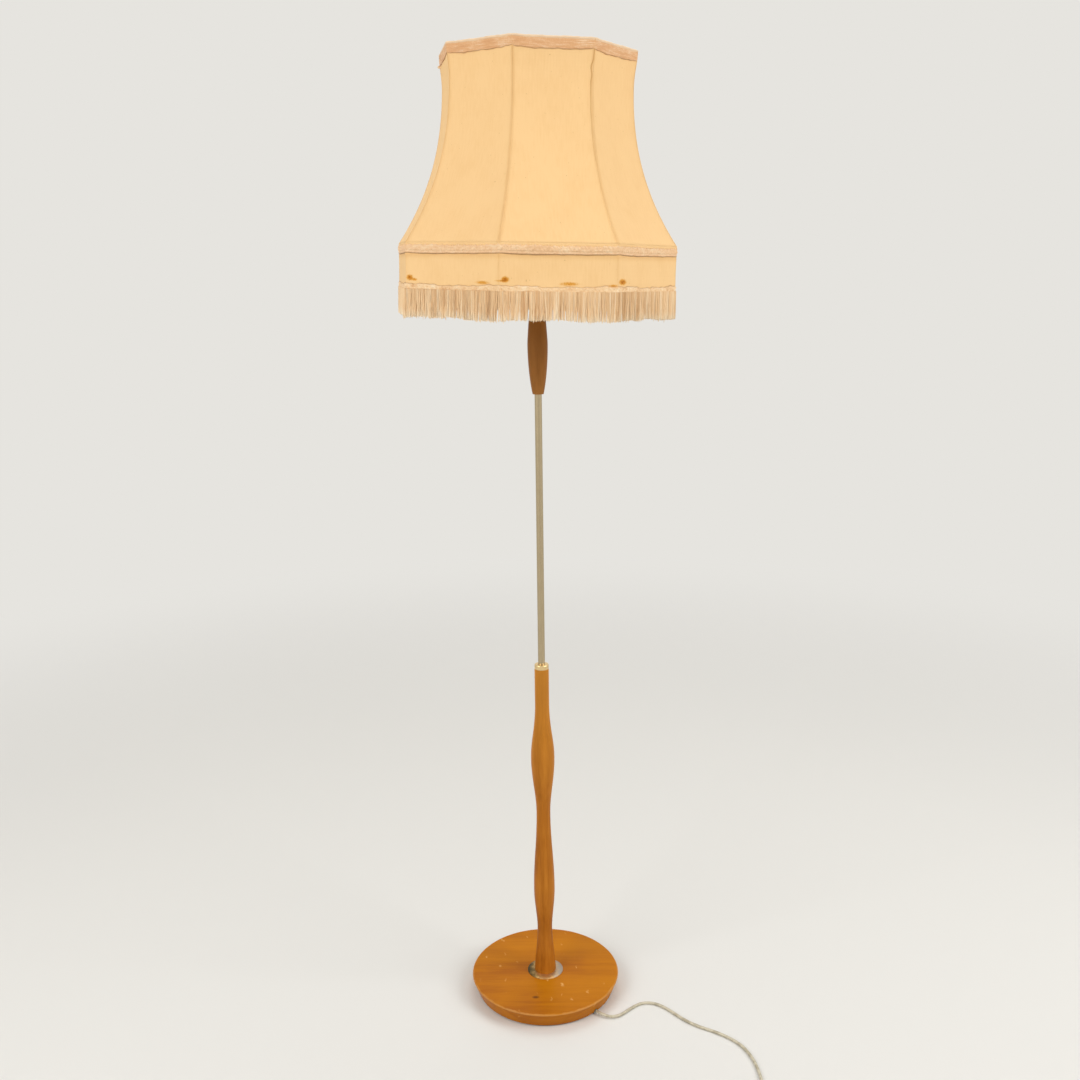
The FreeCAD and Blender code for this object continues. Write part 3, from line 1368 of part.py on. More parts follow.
def make_plug():
    """A plug on its back, pins up: body, cord sleeve and three flat pins."""
    place = Vector(PLUG_MIDDLE[0], PLUG_MIDDLE[1], 0)
    body = new_body("plug_body")
    sketch = new_sketch(body, "XY_Plane")
    rounded_plug_outline(sketch, 1.5)
    top = new_sketch(body, "XY_Plane", d.plug_height)
    rounded_plug_outline(top, 0)
    loft = body.newObject("PartDesign::AdditiveLoft", "plug_body_loft")
    loft.Profile = sketch
    loft.Sections = [top]
    loft.Ruled = True
    body.Tip = loft
    section = new_sketch(body, "YZ_Plane")
    near = d.plug_length / 2 - 2
    far = near + 14.0
    bore = d.cord_radius + d.running_gap
    outline = Outline(section, near, PLUG_CORD_LEVEL)
    outline.line(far, PLUG_CORD_LEVEL).line(far, PLUG_CORD_LEVEL + bore + 0.9)
    outline.line(near, PLUG_CORD_LEVEL + bore + 2.6).close()
    revolve_about_cord(body, section, near, far, "Revolution", "sleeve")
    inlet = new_sketch(body, "YZ_Plane")
    depth = d.plug_length / 2 - 1.0
    box(inlet, depth, PLUG_CORD_LEVEL, far + 1, PLUG_CORD_LEVEL + bore)
    revolve_about_cord(body, inlet, depth, far, "Groove", "inlet")
    holes = new_sketch(body, "XY_Plane", d.plug_height)
    line = d.plug_length / 2 - 17.0
    for x in (-d.pin_spread, d.pin_spread):
        box(holes, x - d.pin_width / 2, line - d.pin_thickness / 2,
            x + d.pin_width / 2, line + d.pin_thickness / 2)
    box(holes, -d.pin_thickness / 2, line - d.earth_distance - d.earth_width / 2,
        d.pin_thickness / 2, line - d.earth_distance + d.earth_width / 2)
    feature(body, "Pocket", "pin_holes", holes, Length=6.0)
    body.Placement.Base = place
    pins = new_body("plug_pins")
    flat = new_sketch(pins, "XY_Plane", d.plug_height - 6)
    for x in (-d.pin_spread, d.pin_spread):
        box(flat, x - d.pin_width / 2, line - d.pin_thickness / 2,
            x + d.pin_width / 2, line + d.pin_thickness / 2)
    pad(pins, flat, d.pin_length + 6)
    earth = new_sketch(pins, "XY_Plane", d.plug_height - 6)
    box(earth, -d.pin_thickness / 2, line - d.earth_distance - d.earth_width / 2,
        d.pin_thickness / 2, line - d.earth_distance + d.earth_width / 2)
    pad(pins, earth, d.earth_length + 6)
    pins.Placement.Base = place

def make_cord():
    cord_tube("mains_cord", CORD_ROUTE)
    make_coil()
    cord_tube("cord_tail", TAIL_ROUTE)
    make_plug()


# ---------------------------------------------------------------- build and export

def check(item):
    """Stop if an object failed or has no good solid."""
    if any(state in ("Invalid", "Error") for state in item.State):
        raise RuntimeError("%s failed: %s" % (item.Label, item.State))


def main():
    make_base()
    make_column()
    make_lampholder()
    make_bulb()
    make_carrier()
    make_frame()
    make_cover()
    make_cord()
    doc.recompute()
    for item in doc.Objects:
        check(item)
    os.makedirs("parts", exist_ok=True)
    for node in nodes:
        shape = node.Shape
        if shape.isNull() or not shape.isValid() or not shape.Solids:
            raise RuntimeError("%s has no valid solid" % node.Label)
        shape.exportStep("parts/%s.step" % node.Label)
        print("%-20s %2d solid(s) %9.1f mm3" % (node.Label, len(shape.Solids), shape.Volume))


main()
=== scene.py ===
"""Looks of a standard lamp: turned wood, a satin tube and a fringed eight-sided fabric shade."""

from __future__ import annotations

import json
import logging
import math
from dataclasses import dataclass, field
from enum import Enum
from typing import Any, Sequence

import bpy
import numpy as np
from mathutils import Matrix, Vector


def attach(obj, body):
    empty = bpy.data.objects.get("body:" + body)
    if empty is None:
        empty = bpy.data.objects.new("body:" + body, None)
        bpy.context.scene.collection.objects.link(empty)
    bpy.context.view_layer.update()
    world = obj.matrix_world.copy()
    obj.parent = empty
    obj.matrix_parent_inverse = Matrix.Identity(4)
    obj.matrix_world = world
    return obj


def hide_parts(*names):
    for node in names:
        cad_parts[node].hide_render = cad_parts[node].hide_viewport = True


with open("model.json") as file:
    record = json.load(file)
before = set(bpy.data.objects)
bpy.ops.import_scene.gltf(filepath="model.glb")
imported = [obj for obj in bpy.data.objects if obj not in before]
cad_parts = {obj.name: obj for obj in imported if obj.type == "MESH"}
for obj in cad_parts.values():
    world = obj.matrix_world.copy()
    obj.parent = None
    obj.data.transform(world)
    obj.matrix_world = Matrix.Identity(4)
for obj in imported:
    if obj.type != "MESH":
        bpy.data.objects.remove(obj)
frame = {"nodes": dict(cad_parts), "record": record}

LOG = logging.getLogger("standard_lamp")

# The shade's octagon: its sides, the angle that each takes, and the cosine and tangent of half
# that angle.
SIDES = 8
SIDE_ANGLE = math.tau / SIDES
COS_HALF = math.cos(SIDE_ANGLE / 2)
TAN_HALF = math.tan(SIDE_ANGLE / 2)


# ------------------------------------------------------------------ materials


def linear(hex_colour: str) -> tuple[float, float, float, float]:
    """Turn an sRGB hex colour into linear numbers.

    Args:
        hex_colour: six hex digits, such as "f3c98d".

    Returns:
        Red, green, blue and an alpha of 1, linear.
    """
    parts = [int(hex_colour[place:place + 2], 16) / 255 for place in (0, 2, 4)]
    red, green, blue = (c / 12.92 if c <= 0.04045 else ((c + 0.055) / 1.055) ** 2.4 for c in parts)
    return red, green, blue, 1.0


def first_output(source: Any) -> Any:
    """Go from a node to its first output in use.

    Args:
        source: a node, or a value of any other kind.

    Returns:
        The node's socket; a value of another kind as it is.
    """
    if isinstance(source, bpy.types.Node):
        return next(output for output in source.outputs if output.enabled)
    return source


def add(tree: bpy.types.NodeTree, kind: str, inputs: dict[Any, Any] | None = None,
        stops: Sequence[tuple[float, str]] = (), **settings: Any) -> bpy.types.Node:
    """Add a node with its settings and links.

    Args:
        tree: the node tree that gets the node.
        kind: the node's type, without its "ShaderNode" start.
        inputs: input name or number to a number, a hex colour, a socket, or a node, which
            stands for its first output in use.
        stops: places and hex colours of a colour ramp.
        settings: the node's own properties.

    Returns:
        The new node.
    """
    node = tree.nodes.new("ShaderNode" + kind)
    for name, value in settings.items():
        setattr(node, name, value)
    for place, value in (inputs or {}).items():
        value = first_output(value)
        if isinstance(value, bpy.types.NodeSocket):
            tree.links.new(value, node.inputs[place])
        else:
            node.inputs[place].default_value = linear(value) if isinstance(value, str) else value
    if stops:
        elements = node.color_ramp.elements
        while len(elements) < len(stops):
            elements.new(0.5)
        for element, (place, colour) in zip(elements, stops):
            element.position = place
            element.color = linear(colour)
    return node


# A Mix node's inputs by number: its factor, then two plain numbers, then two colours.
FACTOR, NUMBER_A, NUMBER_B, COLOUR_A, COLOUR_B = 0, 2, 3, 6, 7

# Strength of every relief; its depth is the finish's own.
BUMP = 0.7

# Bands that a wave texture draws over one unit at a scale of 1, times tau.
WAVE_BANDS = 20.0


class Metal(Enum):
    """Colours of the lamp's bare metals, clean and tarnished."""

    POLISHED_BRASS = ("ecd09a", "b8945a")
    SATIN_BRASS = ("bcab8b", "a69474")
    PRESSED_BRASS = ("c6a459", "8f7334")
    PLAIN_STEEL = ("a5a5a2", "7d7a74")
    SPRING_STEEL = ("b8b8b5", "8d8b87")
    PRESSED_ALUMINIUM = ("cdccc8", "b1afa9")


@dataclass(frozen=True)
class Finish:
    """What every finish has: a name, and a Principled shader that its own method dresses."""

    name: str

    def build(self) -> bpy.types.Material:
        """Make the material.

        Returns:
            The new material.
        """
        material = bpy.data.materials.new(self.name)
        material.use_nodes = True
        tree = material.node_tree
        tree.nodes.clear()
        shader = add(tree, "BsdfPrincipled")
        add(tree, "OutputMaterial", {"Surface": shader})
        self.dress(tree, shader, add(tree, "TexCoord").outputs["Object"])
        return material

    def dress(self, tree: bpy.types.NodeTree, shader: bpy.types.Node,
              place: bpy.types.NodeSocket) -> None:
        """Give the shader its colours and relief: each finish does it in its own way."""
        raise NotImplementedError

    @staticmethod
    def settle(tree: bpy.types.NodeTree, shader: bpy.types.Node, numbers: dict[str, Any],
               colour: Any, height: Any, depth: float) -> None:
        """Set the shader's plain numbers, then link its colour and its relief.

        Args:
            tree: the material's node tree.
            shader: its Principled shader.
            numbers: input names of the shader with their values.
            colour: the node or socket that gives the colour.
            height: the node or socket that gives the relief.
            depth: how deep the relief is, in metres.
        """
        for name, value in numbers.items():
            shader.inputs[name].default_value = value
        bump = add(tree, "Bump", {"Strength": BUMP, "Distance": depth, "Height": height})
        for name, source in (("Base Color", colour), ("Normal", bump)):
            tree.links.new(first_output(source), shader.inputs[name])


@dataclass(frozen=True)
class TurnedBeech(Finish):
    """Beech, turned, stained and varnished.

    The eye sees long soft bands of grain a few millimetres wide, fine darker pores along
    them, the satin gleam of an old thin varnish, and a lighter, yellower tone towards the
    top, which is painted light from above.
    """

    dark: str = "945410"
    middle: str = "b06a1c"
    light: str = "c27c28"
    # The lighter colour painted over the upper wood as light from above.
    painted_top_light: str = "da9638"
    grain: Sequence[float] = (1.0, 1.0, 0.05)
    # Heights where that painted light starts and where it is whole, and its share.
    top_light_from: float = 0.36
    top_light_to: float = 0.6
    top_light_share: float = 0.45

    def dress(self, tree: bpy.types.NodeTree, shader: bpy.types.Node,
              place: bpy.types.NodeSocket) -> None:
        """Bands of 20 mm broken into finer ones, pores of 2 mm and slow changes of tone.

        Args:
            tree: the material's node tree.
            shader: its Principled shader.
            place: coordinates in metres in the lamp's own frame.
        """
        along = add(tree, "Mapping", {"Vector": place, "Scale": tuple(self.grain)})
        bands = add(tree, "TexNoise", {"Vector": along, "Scale": 45.0, "Detail": 4.0,
                                       "Roughness": 0.55, "Distortion": 0.4})
        pores = add(tree, "TexNoise", {"Vector": along, "Scale": 520.0, "Detail": 3.0,
                                       "Roughness": 0.6})
        cloud = add(tree, "TexNoise", {"Vector": place, "Scale": 11.0, "Detail": 2.0})
        tone = add(tree, "Mix", {FACTOR: 0.26, NUMBER_A: bands, NUMBER_B: pores})
        tone = add(tree, "Mix", {FACTOR: 0.3, NUMBER_A: tone, NUMBER_B: cloud})
        colour = add(tree, "ValToRGB", {0: tone},
                     ((0.38, self.dark), (0.5, self.middle), (0.63, self.light)))
        # Painted light: higher up, the wood is mixed towards a lighter, yellower colour, as if lit
        # from the ceiling.
        height = add(tree, "SeparateXYZ", {0: place}).outputs[2]
        painted_top_light = add(tree, "MapRange", {0: height, 1: self.top_light_from, 2: self.top_light_to, 3: 0.0,
                                       4: self.top_light_share})
        colour = add(tree, "Mix", {FACTOR: painted_top_light, COLOUR_A: colour, COLOUR_B: self.painted_top_light},
                     data_type="RGBA")
        colour = self.wear(tree, place, colour)
        gloss = add(tree, "MapRange", {0: cloud, 1: 0.3, 2: 0.7, 3: 0.36, 4: 0.5})
        tree.links.new(gloss.outputs[0], shader.inputs["Roughness"])
        self.settle(tree, shader, {"Specular IOR Level": 0.1, "Coat Weight": 0.03,
                                   "Coat Roughness": 0.2}, colour, pores, 0.00006)

    def wear(self, tree: bpy.types.NodeTree, place: bpy.types.NodeSocket,
             colour: bpy.types.Node) -> bpy.types.Node:
        """Marks of use over the grain; the column and the spindle have none."""
        return colour


@dataclass(frozen=True)
class WornBaseBoard(TurnedBeech):
    """The base's beech board, varnished and worn.

    The eye sees straight grain from side to side, a pale rim along the top edge that is
    painted highlight, short pale dents and scratches, and one dark knot towards the front.
    """

    dark: str = "a85f0a"
    middle: str = "b86e08"
    light: str = "c1770c"
    grain: Sequence[float] = (0.06, 1.0, 1.0)
    rim_highlight: str = "cc904a"
    dent: str = "e8b468"
    knot: str = "5b3210"
    rim: float = 0.1330
    rim_level: float = 0.0285
    rim_highlight_share: float = 0.7
    knot_away: Sequence[float] = (0.018, 0.135, 0.0)

    def wear(self, tree: bpy.types.NodeTree, place: bpy.types.NodeSocket,
             colour: bpy.types.Node) -> bpy.types.Node:
        """Painted rim highlight by the distance from the axis, dents in cells of 24 by 60 mm, and
        the knot.

        The rim's edge is ragged by noise of 12 mm. The cells are stirred by noise of 20 mm and
        turned, some of them stay empty, and the dents in the others are broken up. The knot
        lies where its mapped place is zero, at x = -18 mm and y = -84 mm.

        Args:
            tree: the material's node tree.
            place: coordinates in metres.
            colour: the grain's colour.

        Returns:
            The node of the worn colour.
        """
        flat = add(tree, "VectorMath", {0: place, 1: (1.0, 1.0, 0.0)}, operation="MULTIPLY")
        reach = add(tree, "VectorMath", {0: flat}, operation="LENGTH").outputs["Value"]
        rough = add(tree, "TexNoise", {"Vector": place, "Scale": 85.0, "Detail": 4.0})
        # Painted highlight: a pale ragged band along the rim's top edge.
        ragged = add(tree, "Math", {0: rough, 1: 0.005, 2: reach}, operation="MULTIPLY_ADD")
        rim = add(tree, "MapRange", {0: ragged, 1: self.rim + 0.0018, 2: self.rim + 0.0038})
        level = add(tree, "SeparateXYZ", {0: place}).outputs[2]
        high = add(tree, "MapRange", {0: level, 1: self.rim_level - 0.002, 2: self.rim_level})
        rim_highlit = add(tree, "Math", {0: rim, 1: high}, operation="MULTIPLY")
        rim_highlit = add(tree, "Math", {0: rim_highlit, 1: self.rim_highlight_share}, operation="MULTIPLY")
        colour = add(tree, "Mix", {FACTOR: rim_highlit, COLOUR_A: colour, COLOUR_B: self.rim_highlight},
                     data_type="RGBA")
        stir = add(tree, "TexNoise", {"Vector": place, "Scale": 48.0, "Detail": 2.0})
        stirred = add(tree, "VectorMath", {0: stir.outputs["Color"], 1: (0.03, 0.03, 0.0),
                                           2: flat}, operation="MULTIPLY_ADD")
        turned = add(tree, "Mapping", {"Vector": stirred, "Rotation": (0, 0, 0.9),
                                       "Scale": (1.0, 0.4, 1.0)})
        cells = add(tree, "TexVoronoi", {"Vector": turned, "Scale": 42.0},
                    voronoi_dimensions="2D")
        near = add(tree, "MapRange", {0: cells, 1: 0.11, 2: 0.03})
        chosen = add(tree, "SeparateColor", {0: cells.outputs["Color"]})
        chosen = add(tree, "MapRange", {0: chosen, 1: 0.42, 2: 0.5})
        dents = add(tree, "Math", {0: near, 1: chosen}, operation="MULTIPLY")
        broken = add(tree, "MapRange", {0: rough, 1: 0.42, 2: 0.6, 3: 0.0, 4: 0.7})
        dents = add(tree, "Math", {0: dents, 1: broken}, operation="MULTIPLY")
        colour = add(tree, "Mix", {FACTOR: dents, COLOUR_A: colour, COLOUR_B: self.dent},
                     data_type="RGBA")
        beside = add(tree, "Mapping", {"Vector": flat, "Location": tuple(self.knot_away),
                                       "Scale": (1.0, 1.6, 1.0)})
        away = add(tree, "VectorMath", {0: beside}, operation="LENGTH").outputs["Value"]
        knot = add(tree, "MapRange", {0: away, 1: 0.008, 2: 0.003, 3: 0.0, 4: 0.8})
        return add(tree, "Mix", {FACTOR: knot, COLOUR_A: colour, COLOUR_B: self.knot},
                   data_type="RGBA")


@dataclass(frozen=True)
class BareMetal(Finish):
    """Brass, steel or aluminium, pressed, drawn or polished.

    The eye sees a clear metal with faint tarnish in patches and very fine tool marks.
    """

    metal: Metal = Metal.PLAIN_STEEL
    roughness: float = 0.3
    tarnish: float = 0.3
    drawn: bool = False

    def dress(self, tree: bpy.types.NodeTree, shader: bpy.types.Node,
              place: bpy.types.NodeSocket) -> None:
        """Tarnish in patches of about 15 mm, tool marks of about 1 mm.

        Args:
            tree: the material's node tree.
            shader: its Principled shader.
            place: coordinates in metres in the lamp's own frame.
        """
        clean, dull = self.metal.value
        patches = add(tree, "TexNoise", {"Vector": place, "Scale": 65.0, "Detail": 5.0})
        mask = add(tree, "MapRange", {0: patches, 1: 0.45, 2: 0.75, 3: 0.0, 4: self.tarnish})
        colour = add(tree, "Mix", {FACTOR: mask, COLOUR_A: clean, COLOUR_B: dull},
                     data_type="RGBA")
        scale = (1.0, 1.0, 0.04) if self.drawn else (1.0, 1.0, 1.0)
        marks = add(tree, "TexNoise", {"Detail": 2.0, "Scale": 900.0, "Vector":
                                       add(tree, "Mapping", {"Vector": place, "Scale": scale})})
        level = add(tree, "MapRange", {0: marks, 3: self.roughness - 0.03,
                                       4: self.roughness + 0.12})
        tree.links.new(level.outputs[0], shader.inputs["Roughness"])
        self.settle(tree, shader, {"Metallic": 1.0}, colour, marks, 0.00001)


@dataclass(frozen=True)
class PaintedReflectionPlate(Finish):
    """A thin brass plate that was polished once.

    The eye sees a reflection painted into its colour: pale at the front, grey on the right
    and dark on the left, as a polished plate mirrors the room.
    """

    def dress(self, tree: bpy.types.NodeTree, shader: bpy.types.Node,
              place: bpy.types.NodeSocket) -> None:
        """Painted reflection by the place along X, broken up by patches of about 8 mm.

        Args:
            tree: the material's node tree.
            shader: its Principled shader.
            place: coordinates in metres in the lamp's own frame.
        """
        patches = add(tree, "TexNoise", {"Vector": place, "Scale": 120.0, "Detail": 5.0})
        side = add(tree, "SeparateXYZ", {0: place}).outputs[0]
        shifted = add(tree, "Math", {0: patches, 1: 0.03, 2: side}, operation="MULTIPLY_ADD")
        spread = add(tree, "MapRange", {0: shifted, 1: -0.018, 2: 0.045})
        # Painted reflection: dark on the left, pale at the front, grey on the right.
        colour = add(tree, "ValToRGB", {0: spread},
                     ((0.0, "4a3f22"), (0.16, "7a6238"), (0.36, "e0b878"), (0.62, "d4ae74"),
                      (0.95, "a8998a")))
        self.settle(tree, shader, {"Metallic": 0.85, "Roughness": 0.42}, colour, patches, 0.00005)


@dataclass(frozen=True)
class CastIron(Finish):
    """Grey iron, cast in sand: the eye sees a dark, dull and grainy skin."""

    def dress(self, tree: bpy.types.NodeTree, shader: bpy.types.Node,
              place: bpy.types.NodeSocket) -> None:
        """Grains of about 1.5 mm.

        Args:
            tree: the material's node tree.
            shader: its Principled shader.
            place: coordinates in metres in the lamp's own frame.
        """
        grains = add(tree, "TexNoise", {"Vector": place, "Scale": 700.0, "Detail": 5.0})
        colour = add(tree, "ValToRGB", {0: grains}, ((0.3, "262524"), (0.7, "4b4946")))
        self.settle(tree, shader, {"Metallic": 0.6, "Roughness": 0.75}, colour, grains, 0.0003)


@dataclass(frozen=True)
class Moulded(Finish):
    """Plastic, phenolic resin or rubber, moulded or drawn over a wire.

    The eye sees an even colour, a little darker in patches where hands or dust have been.
    """

    colour: str = "3b2416"
    # Colour of the dirt patches.
    dirt_and_shadow: str = "2a1a10"
    roughness: float = 0.35

    def dress(self, tree: bpy.types.NodeTree, shader: bpy.types.Node,
              place: bpy.types.NodeSocket) -> None:
        """Soiling in patches of about 10 mm, a mould skin of about 0.7 mm.

        Args:
            tree: the material's node tree.
            shader: its Principled shader.
            place: coordinates in metres in the lamp's own frame.
        """
        patches = add(tree, "TexNoise", {"Vector": place, "Scale": 95.0, "Detail": 4.0})
        colour = add(tree, "ValToRGB", {0: patches},
                     ((0.38, self.dirt_and_shadow), (0.55, self.colour), (0.8, self.colour)))
        skin = add(tree, "TexNoise", {"Vector": place, "Scale": 1400.0, "Detail": 2.0})
        self.settle(tree, shader, {"Roughness": self.roughness}, colour, skin, 0.00002)


@dataclass(frozen=True)
class PaintedWire(Finish):
    """Steel wire dipped in white paint: yellowed, and chipped to rust in specks."""

    def dress(self, tree: bpy.types.NodeTree, shader: bpy.types.Node,
              place: bpy.types.NodeSocket) -> None:
        """Chips of about 3 mm.

        Args:
            tree: the material's node tree.
            shader: its Principled shader.
            place: coordinates in metres in the lamp's own frame.
        """
        chips = add(tree, "TexNoise", {"Vector": place, "Scale": 160.0, "Detail": 5.0,
                                       "Roughness": 0.65})
        colour = add(tree, "ValToRGB", {0: chips},
                     ((0.4, "ece5d2"), (0.66, "ddd2b6"), (0.7, "7a4a2a")))
        self.settle(tree, shader, {"Roughness": 0.5}, colour, chips, 0.00008)


@dataclass(frozen=True)
class PearlGlass(Finish):
    """Bulb glass, blown and frosted inside: milky, so that it hides the wire."""

    def dress(self, tree: bpy.types.NodeTree, shader: bpy.types.Node,
              place: bpy.types.NodeSocket) -> None:
        """A faint unevenness of the frosting, in patches of about 15 mm.

        Args:
            tree: the material's node tree.
            shader: its Principled shader.
            place: coordinates in metres in the lamp's own frame.
        """
        frost = add(tree, "TexNoise", {"Vector": place, "Scale": 70.0, "Detail": 3.0})
        colour = add(tree, "ValToRGB", {0: frost}, ((0.35, "efece2"), (0.7, "f8f6f0")))
        self.settle(tree, shader, {"Roughness": 0.4, "Transmission Weight": 0.35}, colour,
                    frost, 0.00002)


@dataclass(frozen=True)
class PressedFelt(Finish):
    """Wool felt, pressed: dull, with matted fibres, rubbed pale where it stood."""

    colour: str = "4a5a3c"
    fibre: str = "66755a"

    def dress(self, tree: bpy.types.NodeTree, shader: bpy.types.Node,
              place: bpy.types.NodeSocket) -> None:
        """Fibres of about 1 mm, drawn coarser than real, in rubbed patches of 30 mm.

        Args:
            tree: the material's node tree.
            shader: its Principled shader.
            place: coordinates in metres in the lamp's own frame.
        """
        fibres = add(tree, "TexNoise", {"Vector": place, "Scale": 1100.0, "Detail": 4.0,
                                        "Roughness": 0.7, "Distortion": 2.0})
        patches = add(tree, "TexNoise", {"Vector": place, "Scale": 32.0, "Detail": 3.0})
        tone = add(tree, "Mix", {FACTOR: 0.4, NUMBER_A: fibres, NUMBER_B: patches})
        colour = add(tree, "ValToRGB", {0: tone},
                     ((0.35, "36432b"), (0.5, self.colour), (0.65, self.fibre)))
        self.settle(tree, shader, {"Roughness": 0.95, "Specular IOR Level": 0.1,
                                   "Sheen Weight": 0.15}, colour, fibres, 0.0004)


class Weave(Enum):
    """Threads to the metre along and across a cloth, as coarse as they must be to show."""

    SATIN = (222.9, 152.0)
    LINING = (192.5, 192.5)


@dataclass(frozen=True)
class StretchedCloth(Finish):
    """Rayon satin or cotton, woven, and sewn tight over a wire frame.

    The eye sees a smooth, matt, slightly glowing cloth with fine slubs, a few specks, and
    rust where the wire under it has bled; shade beside the ribs and seams, at corners and
    under the braids is painted into its colour.
    show, so they are drawn 4 to 7 mm apart. The cloth's own map is in metres.
    """

    colour: str = "f6cd94"
    shadow: str = "eabb7e"
    speck: str = "b98a50"
    weave: Weave = Weave.SATIN

    def dress(self, tree: bpy.types.NodeTree, shader: bpy.types.Node,
              place: bpy.types.NodeSocket) -> None:
        """Slubs 2 mm wide and 20 mm long, tone patches of 40 mm, painted shade, specks of 1 mm, and
        rust.

        Args:
            tree: the material's node tree.
            shader: its Principled shader.
            place: coordinates in metres in the lamp's own frame.
        """
        cloth = add(tree, "UVMap", uv_map="cloth")
        along = add(tree, "Mapping", {"Vector": cloth, "Scale": (1.0, 0.12, 1.0)})
        slubs = add(tree, "TexNoise", {"Vector": along, "Scale": 420.0, "Detail": 3.0})
        patches = add(tree, "TexNoise", {"Vector": place, "Scale": 24.0, "Detail": 3.0})
        tone = add(tree, "Mix", {FACTOR: 0.5, NUMBER_A: slubs, NUMBER_B: patches})
        tone = add(tree, "MapRange", {0: tone, 1: 0.56, 2: 0.36, 3: 0.0, 4: 0.28})
        # Painted shade from the mesh, which mixes the cloth towards its shadow colour.
        age = add(tree, "Attribute", attribute_name="age").outputs["Fac"]
        tone = add(tree, "Math", {0: tone, 1: age}, operation="ADD", use_clamp=True)
        colour = add(tree, "Mix", {FACTOR: tone, COLOUR_A: self.colour, COLOUR_B: self.shadow},
                     data_type="RGBA")
        dots = add(tree, "TexNoise", {"Vector": place, "Scale": 300.0, "Detail": 2.0})
        dots = add(tree, "MapRange", {0: dots, 1: 0.72, 2: 0.78, 3: 0.0, 4: 0.5})
        colour = add(tree, "Mix", {FACTOR: dots, COLOUR_A: colour, COLOUR_B: self.speck},
                     data_type="RGBA")
        rust = add(tree, "Attribute", attribute_name="rust").outputs["Fac"]
        ragged = add(tree, "TexNoise", {"Vector": place, "Scale": 420.0, "Detail": 4.0})
        rust = add(tree, "Math", {0: rust, 1: ragged}, operation="MULTIPLY")
        stain = add(tree, "ValToRGB", {0: rust},
                    ((0.1, "eab668"), (0.3, "dc983a"), (0.6, "b46a16")))
        mask = add(tree, "MapRange", {0: rust, 1: 0.07, 2: 0.24})
        colour = add(tree, "Mix", {FACTOR: mask, COLOUR_A: colour, COLOUR_B: stain},
                     data_type="RGBA")
        warp, weft = (threads * math.tau / WAVE_BANDS for threads in self.weave.value)
        upright = add(tree, "TexWave", {"Vector": cloth, "Scale": warp, "Distortion": 0.6},
                      bands_direction="X")
        level = add(tree, "TexWave", {"Vector": cloth, "Scale": weft, "Distortion": 0.6},
                    bands_direction="Y")
        threads = add(tree, "Math", {0: upright, 1: level}, operation="ADD")
        height = add(tree, "Math", {0: slubs, 1: 1.5, 2: threads}, operation="MULTIPLY_ADD")
        self.settle(tree, shader, {"Roughness": 0.75, "Specular IOR Level": 0.2,
                                   "Sheen Weight": 0.1, "Sheen Roughness": 0.5,
                                   "Sheen Tint": linear("ffe7bd")}, colour, height, 0.00004)


@dataclass(frozen=True)
class CottonBraid(Finish):
    """Cotton yarn, woven into a tape or plaited into a gimp.

    The eye sees yarns of a few millimetres, pink and cream mixed, furry, and dark between
    them, with a paler edge, painted shadow lines and rust where the mesh asks. Their number
    to the metre is given along and across the braid.
    """

    colour: str = "ecc094"
    gap: str = "cf9a6a"
    light: str = "f8dbb4"
    # Colour of the painted shadow lines.
    dirt_and_shadow: str = "a3744a"
    rusted: str = "d4923c"
    yarns: Sequence[float] = (120.0, 260.0, 1.0)
    contrast: float = 0.5

    def dress(self, tree: bpy.types.NodeTree, shader: bpy.types.Node,
              place: bpy.types.NodeSocket) -> None:
        """Yarns by stretched noise along the braid's own map, fluff of 1 mm over them.

        Args:
            tree: the material's node tree.
            shader: its Principled shader.
            place: coordinates in metres in the lamp's own frame.
        """
        cloth = add(tree, "UVMap", uv_map="cloth")
        along = add(tree, "Mapping", {"Vector": cloth, "Scale": tuple(self.yarns)})
        yarns = add(tree, "TexNoise", {"Vector": along, "Scale": 1.0, "Detail": 3.0,
                                       "Roughness": 0.55, "Distortion": 0.8})
        fluff = add(tree, "TexNoise", {"Vector": place, "Scale": 800.0, "Detail": 4.0})
        patches = add(tree, "TexNoise", {"Vector": place, "Scale": 38.0, "Detail": 3.0})
        tone = add(tree, "Mix", {FACTOR: 0.3, NUMBER_A: yarns, NUMBER_B: fluff})
        tone = add(tree, "Mix", {FACTOR: 0.3, NUMBER_A: tone, NUMBER_B: patches})
        edge = 0.5 - 0.22 * (1.1 - self.contrast)
        colour = add(tree, "ValToRGB", {0: tone},
                     ((edge, self.gap), (0.5, self.colour), (1.0 - edge, self.light)))
        # Marks from the mesh: a paler edge, painted shadow lines, and rust.
        for mark, tint in (("age", self.light), ("painted_shadow", self.dirt_and_shadow), ("rust", self.rusted)):
            amount = add(tree, "Attribute", attribute_name=mark).outputs["Fac"]
            amount = add(tree, "Math", {0: amount, 1: 1.0}, operation="MULTIPLY", use_clamp=True)
            colour = add(tree, "Mix", {FACTOR: amount, COLOUR_A: colour, COLOUR_B: tint},
                         data_type="RGBA")
        height = add(tree, "Math", {0: yarns, 1: fluff}, operation="ADD")
        self.settle(tree, shader, {"Roughness": 0.9, "Specular IOR Level": 0.15,
                                   "Sheen Weight": 0.1}, colour, height, 0.0006)


